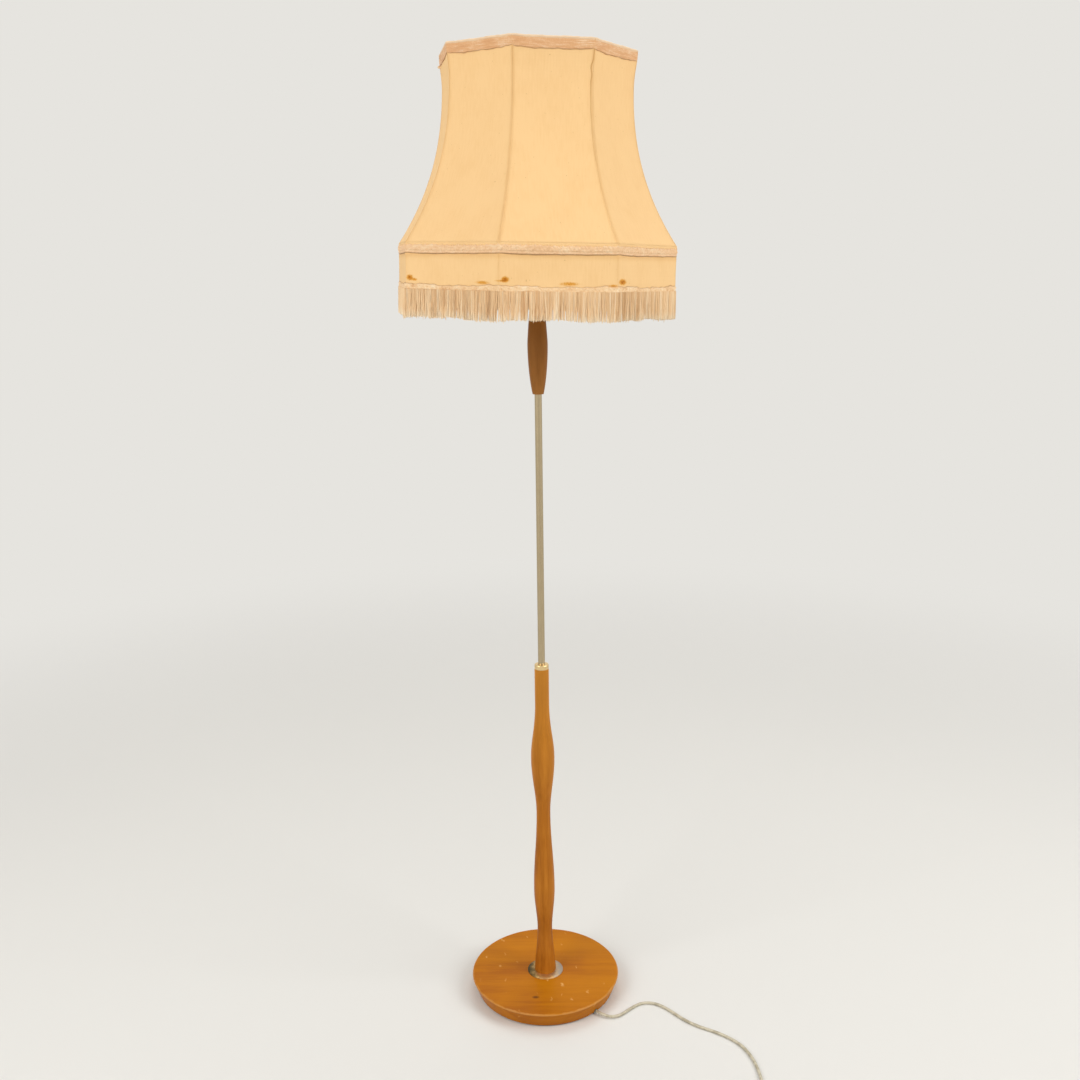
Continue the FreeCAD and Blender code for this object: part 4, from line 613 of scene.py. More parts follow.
@dataclass(frozen=True)
class FringeYarn(Finish):
    """Cotton yarn, twisted and cut: soft threads, each a little lighter or darker."""

    dark: str = "deb384"
    colour: str = "f2cfa2"
    light: str = "fbe8ca"

    def dress(self, tree: bpy.types.NodeTree, shader: bpy.types.Node,
              place: bpy.types.NodeSocket) -> None:
        """Tone by thread, from the mesh, and a twist of about 1 mm.

        Args:
            tree: the material's node tree.
            shader: its Principled shader.
            place: coordinates in metres in the lamp's own frame.
        """
        tone = add(tree, "Attribute", attribute_name="tone").outputs["Fac"]
        twist = add(tree, "TexNoise", {"Vector": place, "Scale": 1000.0, "Detail": 2.0})
        tone = add(tree, "Mix", {FACTOR: 0.15, NUMBER_A: tone, NUMBER_B: twist})
        colour = add(tree, "ValToRGB", {0: tone},
                     ((0.0, self.dark), (0.5, self.colour), (1.0, self.light)))
        self.settle(tree, shader, {"Roughness": 0.9, "Specular IOR Level": 0.15}, colour, twist,
                    0.0002)


# ------------------------------------------------------------------ shapes


def surface(name: str, points: np.ndarray, closed_rows: bool = False,
            closed_columns: bool = False, chart: np.ndarray | None = None,
            marks: dict[str, np.ndarray] | None = None, flip: bool = False,
            ) -> bpy.types.Object:
    """Make a piece from one grid of points, or from several grids of the same size.

    Each quad joins a point to the next one along its column and row. Its normal is the
    column's direction times the row's direction, or the reverse with flip.

    Args:
        name: the piece's name.
        points: rows by columns by 3, or several such grids, in metres.
        closed_rows: whether the last row joins the first.
        closed_columns: whether the last column joins the first.
        chart: the cloth map in metres, 2 numbers for each point.
        marks: names and values of point attributes.
        flip: whether the faces are turned round.

    Returns:
        The new object, smooth shaded, at the origin.
    """
    stack = points.reshape((-1,) + points.shape[-3:])
    count, rows, columns = stack.shape[:3]
    row = np.arange(rows if closed_rows else rows - 1)[:, None]
    column = np.arange(columns if closed_columns else columns - 1)[None, :]
    row_after, column_after = (row + 1) % rows, (column + 1) % columns
    corners = [row * columns + column, row * columns + column_after,
               row_after * columns + column_after, row_after * columns + column]
    faces = np.stack([corner.ravel() for corner in (corners[::-1] if flip else corners)], axis=1)
    every = (faces[None] + (np.arange(count) * rows * columns)[:, None, None]).reshape(-1, 4)
    mesh = bpy.data.meshes.new(name)
    mesh.vertices.add(count * rows * columns)
    mesh.vertices.foreach_set("co", stack.reshape(-1).astype(np.float32))
    mesh.loops.add(every.size)
    mesh.loops.foreach_set("vertex_index", every.reshape(-1).astype(np.int32))
    mesh.polygons.add(len(every))
    mesh.polygons.foreach_set("loop_start", np.arange(0, every.size, 4, dtype=np.int32))
    mesh.update(calc_edges=True)
    if chart is not None:
        layer = mesh.uv_layers.new(name="cloth")
        flat = chart.reshape(-1, 2)[every.reshape(-1)]
        layer.data.foreach_set("uv", flat.reshape(-1).astype(np.float32))
    for key, values in (marks or {}).items():
        attribute = mesh.attributes.new(key, "FLOAT", "POINT")
        spread = np.broadcast_to(values, stack.shape[:-1] if points.ndim > 3 else points.shape[:-1])
        attribute.data.foreach_set("value", spread.reshape(-1).astype(np.float32))
    mesh.polygons.foreach_set("use_smooth", np.ones(len(every), dtype=bool))
    mesh.validate()
    piece = bpy.data.objects.new(name, mesh)
    bpy.context.scene.collection.objects.link(piece)
    return piece


def cubic(poles: Sequence[tuple[float, float]], count: int) -> np.ndarray:
    """Points of one cubic Bezier curve: its poles weighed by (1-t)^3, 3t(1-t)^2 and so on.

    Args:
        poles: start, two handles and end.
        count: how many points.

    Returns:
        count points of two numbers.
    """
    t = np.linspace(0, 1, count)[:, None]
    a, b, c, e = (np.asarray(pole, float) for pole in poles)
    return a * (1 - t) ** 3 + 3 * b * t * (1 - t) ** 2 + 3 * c * t ** 2 * (1 - t) + e * t ** 3


def lengths(line: np.ndarray) -> np.ndarray:
    """Length along a line of points, from its start to each point."""
    return np.concatenate([[0.0], np.cumsum(np.linalg.norm(np.diff(line, axis=0), axis=1))])


def ripple(seed: int, places: np.ndarray, waves: Sequence[float], rough: float = 1.0,
           other: np.ndarray | float = 0.0, slant: float = 0.0) -> np.ndarray:
    """A smooth random line or field: a sum of sines of random phase.

    Each sine is sin(2 pi (wave * place + tilt * other + phase)), its size 1 / wave^rough.

    Args:
        seed: which line.
        places: where it is read.
        waves: each sine's waves for one unit of place; whole numbers close round the shade.
        rough: how much weaker the shorter waves are.
        other: a second place, across the first.
        slant: the largest tilt of a sine along the second place.

    Returns:
        Values from about -1 to 1.
    """
    random = np.random.default_rng(seed)
    total: np.ndarray | float = 0.0
    weight = 0.0
    for wave in waves:
        phase, tilt = random.random(), random.uniform(-slant, slant)
        total = total + np.sin(math.tau * (wave * places + tilt * other + phase)) / wave ** rough
        weight += 1.0 / wave ** rough
    return total / weight * 1.6


def bell(places: np.ndarray, middle: float, width: float) -> np.ndarray:
    """A bell curve: exp(-((place - middle) / width)^2)."""
    return np.exp(-((places - middle) / width) ** 2)


class Body(Enum):
    """The lamp's bodies, which pieces ride on."""

    STAND = "stand"
    SHADE = "shade"


def finished(piece: bpy.types.Object, body: Body, slot: str, material: bpy.types.Material,
             *nodes: str, wall: float = 0.0) -> bpy.types.Object:
    """Dress a piece, let it ride on its body and hide the CAD nodes it stands for.

    Args:
        piece: the piece.
        body: the body it moves with.
        slot: the record's material slot.
        material: its only material.
        nodes: the nodes that it replaces.
        wall: the thickness that a sheet gets inwards, in metres.

    Returns:
        The same piece.
    """
    piece.data.materials.clear()
    piece.data.materials.append(material)
    if wall:
        solid = piece.modifiers.new("wall", "SOLIDIFY")
        solid.thickness = wall
        solid.offset = -1.0
    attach(piece, body.value)
    if nodes:
        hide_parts(*nodes)
    LOG.info("%s rides on %s", piece.name, body.value)
    return piece


# ------------------------------------------------------------------ the shade


@dataclass(frozen=True)
class ShadeForm:
    """Sizes and place of the shade: level octagons about its own leaning axis, in metres."""

    shift: float = 0.0028
    lean: float = math.radians(1.5)
    turn: float = math.radians(9.83)
    ring: float = 1.5669
    top: float = 1.622
    waist: float = 1.572
    flare: float = 1.337
    hem: float = 1.273
    top_corner: float = 0.157
    waist_corner: float = 0.1524
    flare_corner: float = 0.228

    @property
    def pitch(self) -> float:
        """Width of one side at the flare."""
        return 2 * TAN_HALF * self.flare_corner * COS_HALF

    def placed(self, points: np.ndarray) -> np.ndarray:
        """Turn, lean and shift points from the shade's own frame into the lamp's.

        Args:
            points: any array of points whose heights count from the floor.

        Returns:
            The same array in the lamp's frame.
        """
        x, y, z = points[..., 0], points[..., 1], points[..., 2] - self.ring
        along = x * math.cos(self.turn) - y * math.sin(self.turn)
        side = x * math.sin(self.turn) + y * math.cos(self.turn)
        across = along * math.cos(self.lean) + z * math.sin(self.lean)
        height = -along * math.sin(self.lean) + z * math.cos(self.lean)
        return np.stack([across + self.shift, side, height + self.ring], axis=-1)

    def profile(self, count: int) -> np.ndarray:
        """The rib's line: two cubics that meet at the waist, with points evenly by length.

        Args:
            count: how many points.

        Returns:
            Corner radius and height of each point, from the top to the flare.
        """
        drop = self.waist - self.flare
        lip = self.top - self.waist
        upper = cubic(((self.top_corner, self.top), (self.top_corner, self.top - lip * 0.3),
                       (self.waist_corner, self.waist + lip * 0.4),
                       (self.waist_corner, self.waist)), 200)
        lower = cubic(((self.waist_corner, self.waist),
                       (self.waist_corner, self.waist - drop * 0.39),
                       (self.flare_corner - drop * 0.21, self.flare + drop * 0.3),
                       (self.flare_corner, self.flare)), 400)
        line = np.concatenate([upper, lower[1:]])
        length = lengths(line)
        wanted = np.linspace(0, length[-1], count)
        return np.stack([np.interp(wanted, length, line[:, axis]) for axis in (0, 1)], axis=1)

    def corner_at(self, levels: np.ndarray) -> np.ndarray:
        """Corner radius of the cover at given levels."""
        line = self.profile(500)[::-1]
        return np.interp(levels, line[:, 1], line[:, 0])

    @staticmethod
    def around(stations: np.ndarray, side: np.ndarray | float, soft: float = 0.0,
               ) -> tuple[np.ndarray, np.ndarray]:
        """Points of an octagon's outline.

        A station's whole number is a side's middle and its half is the corner after it. The
        outline's radius is side / cos(angle from the side's middle), less a softening that
        grows over the last tenth of a side towards its corner.

        Args:
            stations: places round the octagon, from 0 to 8.
            side: distance from the axis to the sides.
            soft: how far the corners are pulled in, in metres.

        Returns:
            The x and y of the points.
        """
        number = np.floor(stations + 0.5)
        across = (stations - number) * 2 * TAN_HALF
        pulled = soft * np.clip(np.abs(stations - number) * 2 - 0.9, 0, 1) * 10
        angle = number * SIDE_ANGLE + np.arctan(across)
        radius = side * np.sqrt(1 + across ** 2) - pulled
        return radius * np.cos(angle), radius * np.sin(angle)


FORM = ShadeForm()

# Room between two panels and between the cover and a braid, and how far braids and threads
# are pulled in at the octagon's corners.
STITCH = 0.00015
SOFT_CORNER = 0.0006


@dataclass
class FlaredCover:
    """The eight flared panels between the ribs, and the seams that join them."""

    cloth: bpy.types.Material
    seam: bpy.types.Material
    across: int = 28
    down: int = 64
    thickness: float = 0.0008
    sag: float = 0.0022
    pull: float = 0.00018
    wave: float = 0.00022
    chart_step: float = 0.35
    rib_shade: float = 0.5
    rib_reach: float = 0.003
    tape_shade: float = 0.35
    seam_half: float = 0.0008
    seam_rise: float = 0.0004
    seam_sunk: float = 0.00012
    seam_wander: float = 0.00035
    pulled_seam: int = 6
    pulled_aside: float = -0.0034
    pulled_from: float = 0.105
    pulled_back: float = 0.0012

    def panel(self, number: int) -> bpy.types.Object:
        """One panel: the rib's line carried across a side, and drawn in between its ribs.

        A point at (u, v) lies u times the half width along the side, and at the side's
        distance less sag (1 - u^2) sin(pi v)^0.8. Faint pulls run down from the top tape, faint
        waves cross the middle, and shade is painted into the cloth beside the ribs and under the
        tape.

        Args:
            number: which side, from 0.

        Returns:
            The panel.
        """
        line = FORM.profile(self.down)
        u = np.linspace(-1, 1, self.across)[None, :]
        v = np.linspace(0, 1, self.down)[:, None]
        side = line[:, 0][:, None] * COS_HALF
        half = side * TAN_HALF - STITCH / 2
        bow = self.sag * (1 - u ** 2) * np.sin(math.pi * v) ** 0.8
        pulls = self.pull * ripple(number + 3, u, (1.0, 2.3, 3.9)) * np.exp(-v * 6)
        waves = self.wave * (1 - u ** 2) * ripple(number + 20, u * 0.5, (0.8, 1.9), 1.0, v, 3.0)
        x = side - bow + pulls + waves
        y = u * half
        angle = number * SIDE_ANGLE
        points = np.stack([x * math.cos(angle) - y * math.sin(angle),
                           x * math.sin(angle) + y * math.cos(angle),
                           line[:, 1][:, None] + 0 * u], axis=-1)
        length = lengths(line)
        chart = np.stack([y + number * self.chart_step, length[:, None] + 0 * u], axis=-1)
        # Painted shade beside the ribs and under the top tape.
        age = (self.rib_shade * np.exp(-(1 - np.abs(u)) * half / self.rib_reach)
               + self.tape_shade * np.exp(-v * 40))
        piece = surface("cover_panel_%d" % (number + 1), FORM.placed(points), chart=chart,
                        marks={"age": age}, flip=True)
        finished(piece, Body.SHADE, "shade_fabric", self.cloth, "shade_panel_%d" % (number + 1),
                 wall=self.thickness)
        return piece

    def seams(self) -> bpy.types.Object:
        """A narrow folded seam on each rib: a half ellipse carried down the rib's line.

        The seam wanders a little. One at the front is pulled aside below the top tape, in a
        smooth step, and comes back down the rib. Painted shade darkens the seams, most at the top
        and most on the pulled one.

        Returns:
            All eight seams as one piece.
        """
        line = FORM.profile(120)
        v = np.linspace(0, 1, 120)
        slope = np.gradient(line, axis=0)
        slope /= np.linalg.norm(slope, axis=1, keepdims=True)
        outward = np.stack([-slope[:, 1], slope[:, 0]], axis=1)
        number = np.arange(SIDES)[:, None]
        wander = np.stack([self.seam_wander * ripple(40 + rib, v, (2.0, 5.0, 9.0))
                           for rib in range(SIDES)])
        aside = 1 / (1 + np.exp(-(v - self.pulled_from) / 0.006))
        jog = self.pulled_aside * aside * np.exp(-v * 1.2) + self.pulled_back * bell(v, 0.16, 0.02)
        wander = wander + np.where(number == self.pulled_seam, jog, 0.0)
        turn = np.linspace(0, math.pi, 7)
        across = self.seam_half * np.cos(turn) + wander[..., None]
        rise = self.seam_rise * np.sin(turn) - self.seam_sunk
        radial = (line[:, 0, None] + rise * outward[:, 0, None])[None] - np.abs(across) * TAN_HALF
        angle = (number[..., None] + 0.5) * SIDE_ANGLE
        z = np.broadcast_to(line[:, 1, None] + rise * outward[:, 1, None], across.shape)
        points = FORM.placed(np.stack([radial * np.cos(angle) - across * np.sin(angle),
                                       radial * np.sin(angle) + across * np.cos(angle),
                                       z], axis=-1))
        chart = np.stack([0 * z + turn * 0.001, 0 * z + v[:, None] * 0.3], axis=-1)
        # Painted shade on the seams, darkest at the top and on the pulled seam.
        painted_shadow = (0.2 + 0.5 * np.exp(-v * 5)
                + np.where(number == self.pulled_seam, 0.7 * np.exp(-v * 3), 0.0))
        piece = surface("rib_seams", points, chart=chart, marks={"age": painted_shadow[..., None]})
        return finished(piece, Body.SHADE, "shade_fabric", self.seam)

    def build(self) -> None:
        """Make the panels and their seams."""
        for number in range(SIDES):
            self.panel(number)
        self.seams()


# Rust: station, drop below the flare, width and height in metres, and strength.
RUST = (
    (4.545, 0.0512, 0.0052, 0.0036, 1.35), (4.60, 0.0540, 0.0050, 0.0018, 0.8),
    (5.555, 0.0512, 0.0044, 0.0036, 1.3), (5.51, 0.0532, 0.0090, 0.0014, 0.6),
    (5.335, 0.0562, 0.0120, 0.0024, 0.75), (6.09, 0.0566, 0.0140, 0.0026, 0.75),
    (6.46, 0.0592, 0.0070, 0.0024, 0.8), (6.58, 0.0532, 0.0084, 0.0036, 1.35),
    (7.55, 0.0520, 0.0052, 0.0034, 1.2), (0.53, 0.0520, 0.0050, 0.0030, 1.0),
    (1.20, 0.0565, 0.0130, 0.0022, 0.65), (2.54, 0.0515, 0.0055, 0.0034, 1.2),
)


def rust(stations: np.ndarray, drop: np.ndarray) -> np.ndarray:
    """Strength of the rust that the hem's wire has left: a sum of bell-shaped spots.

    Args:
        stations: places round the shade.
        drop: distance below the flare, in metres.

    Returns:
        The strength at each place.
    """
    total = 0.0 * stations * drop
    for station, level, width, height, strength in RUST:
        away = ((stations - station + SIDES / 2) % SIDES - SIDES / 2) * FORM.pitch
        total = total + strength * bell(away, 0, width) * bell(drop, level, height)
    return total


@dataclass
class Collar:
    """The upright band of cloth under the flare."""

    cloth: bpy.types.Material
    round_count: int = 640
    down: int = 36
    thickness: float = 0.0008
    sag: float = 0.0009
    fold: float = 0.00022
    corner_shade: float = 0.5
    corner_reach: float = 0.002
    line_shade: float = 0.7
    line_drop: float = 0.018
    line_height: float = 0.004

    def build(self) -> bpy.types.Object:
        """Make the band: the flare's octagon carried straight down, a little slack.

        It has faint slanted folds, painted shade at its corners and a painted shadow line just
        below the gimp, and it carries the hem's rust.

        Returns:
            The band.
        """
        stations = np.linspace(0, SIDES, self.round_count, endpoint=False)[None, :]
        v = np.linspace(0, 1, self.down)[:, None]
        height = FORM.flare - FORM.hem
        u = (stations - np.floor(stations + 0.5)) * 2
        slack = self.sag * (1 - u ** 2) * np.sin(math.pi * v)
        folds = self.fold * ripple(71, stations, (1, 2, 4), 1.0, v, 0.6) * np.sin(math.pi * v)
        x, y = FORM.around(stations, FORM.flare_corner * COS_HALF - slack + folds)
        drop = v * height + 0 * stations
        points = FORM.placed(np.stack([x, y, FORM.flare - drop], axis=-1))
        chart = np.stack([stations * FORM.pitch + 0 * v, drop], axis=-1)
        # Painted shade at the corners and a painted shadow line just below the gimp.
        age = (self.corner_shade * np.exp(-(1 - np.abs(u)) * FORM.pitch / 2 / self.corner_reach)
               + self.line_shade * bell(drop, self.line_drop, self.line_height))
        piece = surface("collar_band", points, closed_columns=True, chart=chart,
                        marks={"age": age, "rust": rust(stations, drop)}, flip=True)
        finished(piece, Body.SHADE, "shade_fabric", self.cloth, "shade_collar",
                 wall=self.thickness)
        return piece


@dataclass
class Lining:
    """The lining inside the frame, seen from below and through the top."""

    cloth: bpy.types.Material
    inset: float = 0.0070
    fold: Sequence[tuple[float, float]] = (
        (0.0010, 1.6213), (0.0025, 1.6217), (0.0043, 1.6200), (0.0049, 1.6175),
        (0.0066, 1.6135))
    top: float = 1.610
    bottom: float = 1.274
    belly: float = 0.0008
    thickness: float = 0.0005
    side_chart: float = 0.16
    half_side: float = 0.07
    corner_shade: float = 0.7
    corner_reach: float = 0.002
    round_count: int = 256
    down: int = 54
    down_collar: int = 8

    def build(self) -> bpy.types.Object:
        """Make the lining: the cover's octagons a little smaller, straight above the waist.

        At the top it is folded out over the frame's top ring, at the given distances inside
        the cover and levels. Below that it bellies in by belly (1 - u^2) between the corners.
        It is a little darker all over, and painted shade darkens each corner.

        Returns:
            The lining.
        """
        flared = np.linspace(self.top, FORM.flare, self.down - self.down_collar, endpoint=False)
        levels = np.concatenate([flared, np.linspace(FORM.flare, self.bottom, self.down_collar)])
        corner = np.where(levels > FORM.waist, FORM.waist_corner, FORM.corner_at(levels))
        inside, folded = np.array(self.fold).T
        reach = np.concatenate([FORM.top_corner * COS_HALF - inside,
                                corner * COS_HALF - self.inset])
        belly = np.concatenate([0 * inside, 0 * corner + self.belly])[:, None]
        levels = np.concatenate([folded, levels])
        stations = np.linspace(0, SIDES, self.round_count, endpoint=False)[None, :]
        u = (stations - np.floor(stations + 0.5)) * 2
        x, y = FORM.around(stations, reach[:, None] - belly * (1 - u ** 2))
        z = levels[:, None] + 0 * x
        length = lengths(np.stack([reach, levels], axis=1))
        chart = np.stack([stations * self.side_chart + 0 * z, length[:, None] + 0 * stations],
                         axis=-1)
        # A little darker all over, with painted shade along each corner.
        age = 0.1 + self.corner_shade * np.exp(-(1 - np.abs(u)) * self.half_side
                                               / self.corner_reach)
        piece = surface("inner_lining", FORM.placed(np.stack([x, y, z], axis=-1)),
                        closed_columns=True, chart=chart, marks={"age": age}, flip=True)
        finished(piece, Body.SHADE, "lining_fabric", self.cloth, "shade_lining",
                 wall=self.thickness)
        return piece


@dataclass
class Braid:
    """A braid sewn round the shade: its front's section, its waves, lumps and frayed edge.

    The section gives places from the lower edge to the upper one, 0 to 1, with the share of
    the thickness at each. A dark line, a painted shadow, is a place, a width and a strength.
    """

    name: str
    node: str
    material: bpy.types.Material
    low: float
    high: float
    section: Sequence[tuple[float, float]]
    seed: int
    thickness: float = 0.00125
    wave: tuple[float, float] = (0.0005, 0.0005)
    lumps: float = 0.1
    fray: float = 0.0
    pale_above: float = 2.0
    pale_edge: float = 0.03
    paleness: float = 0.8
    dark_lines: Sequence[tuple[float, float, float]] = ()
    up_count: int = 14
    round_count: int = 1600

    def build(self) -> bpy.types.Object:
        """Carry the braid's section round the octagon.

        The section is a closed loop: up the back, then down the front, where the distance
        from the back is the thickness times the section's share at that height. Both edges
        wave, tufts lengthen the upper one, and lumps swell the front.

        Returns:
            The braid.
        """
        stations = np.linspace(0, SIDES, self.round_count, endpoint=False)[:, None]
        t = np.linspace(0, 1, self.up_count)
        places, shares = zip(*self.section)
        share = np.concatenate([0 * t, np.interp(t[::-1], places, shares)])[None, :]
        t = np.concatenate([t, t[::-1]])[None, :]
        lower = self.low + self.wave[0] * ripple(self.seed, stations, (1, 2, 5, 9), 0.6)
        upper = self.high + self.wave[1] * ripple(self.seed + 1, stations, (1, 3, 7, 12), 0.5)
        tufts = ripple(self.seed + 2, stations, (17, 26, 39, 52), 0.2)
        upper = upper + self.fray * np.clip(tufts, -0.5, 1.0)
        z = lower + (upper - lower) * t
        swell = 1 + self.lumps * ripple(self.seed + 3, stations, (11, 19, 31, 44), 0.1, t, 2.2)
        back = FORM.corner_at(np.clip(z, FORM.flare, FORM.top)) * COS_HALF + STITCH
        x, y = FORM.around(stations, back + self.thickness * share * swell, SOFT_CORNER)
        chart = np.stack([stations * FORM.pitch + 0 * z, z - self.low], axis=-1)
        pale = np.clip((t - self.pale_above) / self.pale_edge, 0, 1) * self.paleness + 0 * z
        # Painted shadow lines, under edges and in folds of the braid.
        painted_shadow = 0 * z
        for place, width, strength in self.dark_lines:
            painted_shadow = np.maximum(painted_shadow, strength * bell(t, place, width))
        piece = surface(self.name, FORM.placed(np.stack([x, y, z], axis=-1)), True, True, chart,
                        {"age": pale, "painted_shadow": painted_shadow, "rust": rust(stations, FORM.flare - z)})
        return finished(piece, Body.SHADE, "trim_braid", self.material, self.node)


@dataclass
class LooseKnot:
    """A knot of yarn that sticks out where the top tape ends, at the left of the shade."""

    material: bpy.types.Material
    station: float = 3.52
    level: float = 1.6065
    size: float = 0.0021
    lumps: float = 0.25
    proud: float = 0.8

    def build(self) -> bpy.types.Object:
        """A lumpy ball: radius size (1 + lumps sin(down) ripple) over two angles.

        Its middle stands off the cover by its size times proud.

        Returns:
            The knot.
        """
        down = np.linspace(0, math.pi, 14)[:, None]
        turn = np.linspace(0, math.tau, 20, endpoint=False)[None, :]
        lumps = self.lumps * np.sin(down) * ripple(7, turn / math.tau, (2, 3, 5), 0.3, down, 0.5)
        radius = self.size * (1 + lumps)
        x, y = FORM.around(np.array(self.station), FORM.corner_at(np.array(self.level)) * COS_HALF)
        out = np.array([float(x), float(y)]) * (1 + self.size * self.proud / math.hypot(x, y))
        points = np.stack([out[0] + radius * np.sin(down) * np.cos(turn),
                           out[1] + radius * np.sin(down) * np.sin(turn),
                           self.level + radius * np.cos(down) + 0 * turn], axis=-1)
        chart = np.stack([turn * 0.002 + 0 * down, down * 0.002 + 0 * turn], axis=-1)
        piece = surface("loose_knot", FORM.placed(points), closed_columns=True, chart=chart,
                        marks={"age": np.array(0.8)}, flip=True)
        return finished(piece, Body.SHADE, "trim_braid", self.material)


@dataclass
class Fringe:
    """Hanging cut threads in three rows: soft tufts, uneven ends, and a few partings.

    Sideways measures count in stations, the others in metres.
    """

    material: bpy.types.Material
    threads: int = 3500
    sides: int = 5
    rows: int = 3
    row_step: float = 0.0007
    off_cover: float = 0.0002
    top: float = 1.2700
    bottom: float = 1.2268
    radius: float = 0.00056
    hem_wave: float = 0.0017
    long_share: float = 0.03
    tuft_drift: float = 0.010
    sway: float = 0.0036
    bend: float = 0.0018
    lean: float = 0.0005
    partings: Sequence[tuple[float, float]] = (
        (5.50, 0.008), (5.755, 0.009), (6.36, 0.004), (2.2, 0.008), (3.8, 0.006), (0.9, 0.007))
    parting_reach: float = 0.03
    seed: int = 11

    def build(self) -> bpy.types.Object:
        """Make all threads at once.

        A thread is a five-sided tube, closed at both ends, whose station at v of its length
        is its start, plus a drift of its tuft times v^1.3, plus its own sway times v^2 and its
        own bend times sin(7 v), and is pushed away from the partings. One seeded random source
        gives starts, lengths, girths, sways, bends, leans and tones, in that order.

        Returns:
            The fringe.
        """
        random = np.random.default_rng(self.seed)
        start = (np.arange(self.threads) + random.uniform(-0.4, 0.4, self.threads))
        start = start / self.threads * SIDES
        row = np.arange(self.threads) % self.rows
        drift = self.tuft_drift * ripple(5, start, (6, 11, 17, 29, 47), 0.3)
        gap = 0 * start
        for parting, width in self.partings:
            gap += np.sign(start - parting) * width * bell(start, parting, self.parting_reach)
        length = (self.top - self.bottom) * (0.965 + 0.05 * random.random(self.threads))
        length += self.hem_wave * ripple(9, start, (1, 2, 3, 8), 0.6)
        long_ones = random.random(self.threads) < self.long_share
        length = np.where(long_ones, length + random.uniform(0.001, 0.0035, self.threads), length)
        v = np.array([0.0, 0.03, 0.35, 0.68, 0.96, 1.0])[None, :]
        girth = np.array([0.0, 1.0, 1.0, 1.05, 0.9, 0.0])[None, :]
        girth = girth * self.radius * random.uniform(0.8, 1.25, self.threads)[:, None]
        sway = random.normal(0, self.sway, self.threads)[:, None]
        bend = random.normal(0, self.bend, self.threads)[:, None]
        place = start[:, None] + drift[:, None] * v ** 1.3 + sway * v ** 2 + bend * np.sin(v * 7)
        place = place + gap[:, None] * (0.45 + 0.55 * v)
        deep = FORM.flare_corner * COS_HALF + self.off_cover + self.row_step * row[:, None]
        deep = deep + random.normal(0, self.lean, self.threads)[:, None] * v
        turn = np.arange(self.sides) * math.tau / self.sides
        side = deep[..., None] + girth[..., None] * np.cos(turn)
        station = place[..., None] + girth[..., None] * np.sin(turn) / FORM.pitch
        x, y = FORM.around(station, side, SOFT_CORNER)
        z = np.broadcast_to((self.top - length[:, None] * v)[..., None], x.shape)
        tone = 0.5 + 0.2 * random.standard_normal(self.threads) + 0.12 * ripple(8, start, (9, 23))
        tone = tone[:, None, None] - 0.1 * (1 - v[..., None]) + 0.5 * (v[..., None] > 0.9)
        piece = surface("hanging_fringe", FORM.placed(np.stack([x, y, z], axis=-1)),
                        closed_columns=True, marks={"tone": np.clip(tone, 0, 1)}, flip=True)
        return finished(piece, Body.SHADE, "fringe_yarn", self.material, "shade_fringe")


# ------------------------------------------------------------------ the cord


# The cord's control points in metres: from the bush along the floor to the coil, and from the
# coil to the plug.
CORD_ROUTE = (
    (0.09051, -0.09051, 0.0058),
    (0.1060, -0.1060, 0.0052),
    (0.1300, -0.1030, 0.0035),
    (0.1490, -0.0830, 0.0026),
    (0.1740, -0.0630, 0.0026),
    (0.2000, -0.0660, 0.0026),
    (0.2220, -0.0860, 0.0026),
    (0.2410, -0.1100, 0.0026),
    (0.2640, -0.1310, 0.0026),
    (0.3010, -0.1510, 0.0026),
    (0.3320, -0.1780, 0.0026),
    (0.3470, -0.2130, 0.0026),
    (0.3520, -0.2500, 0.0027),
    (0.3520, -0.2850, 0.0030),
    (0.3520, -0.3160, 0.0033),
)
CORD_END = ((0.3520, -0.3540, 0.0084), (0.3520, -0.3787, 0.0084))


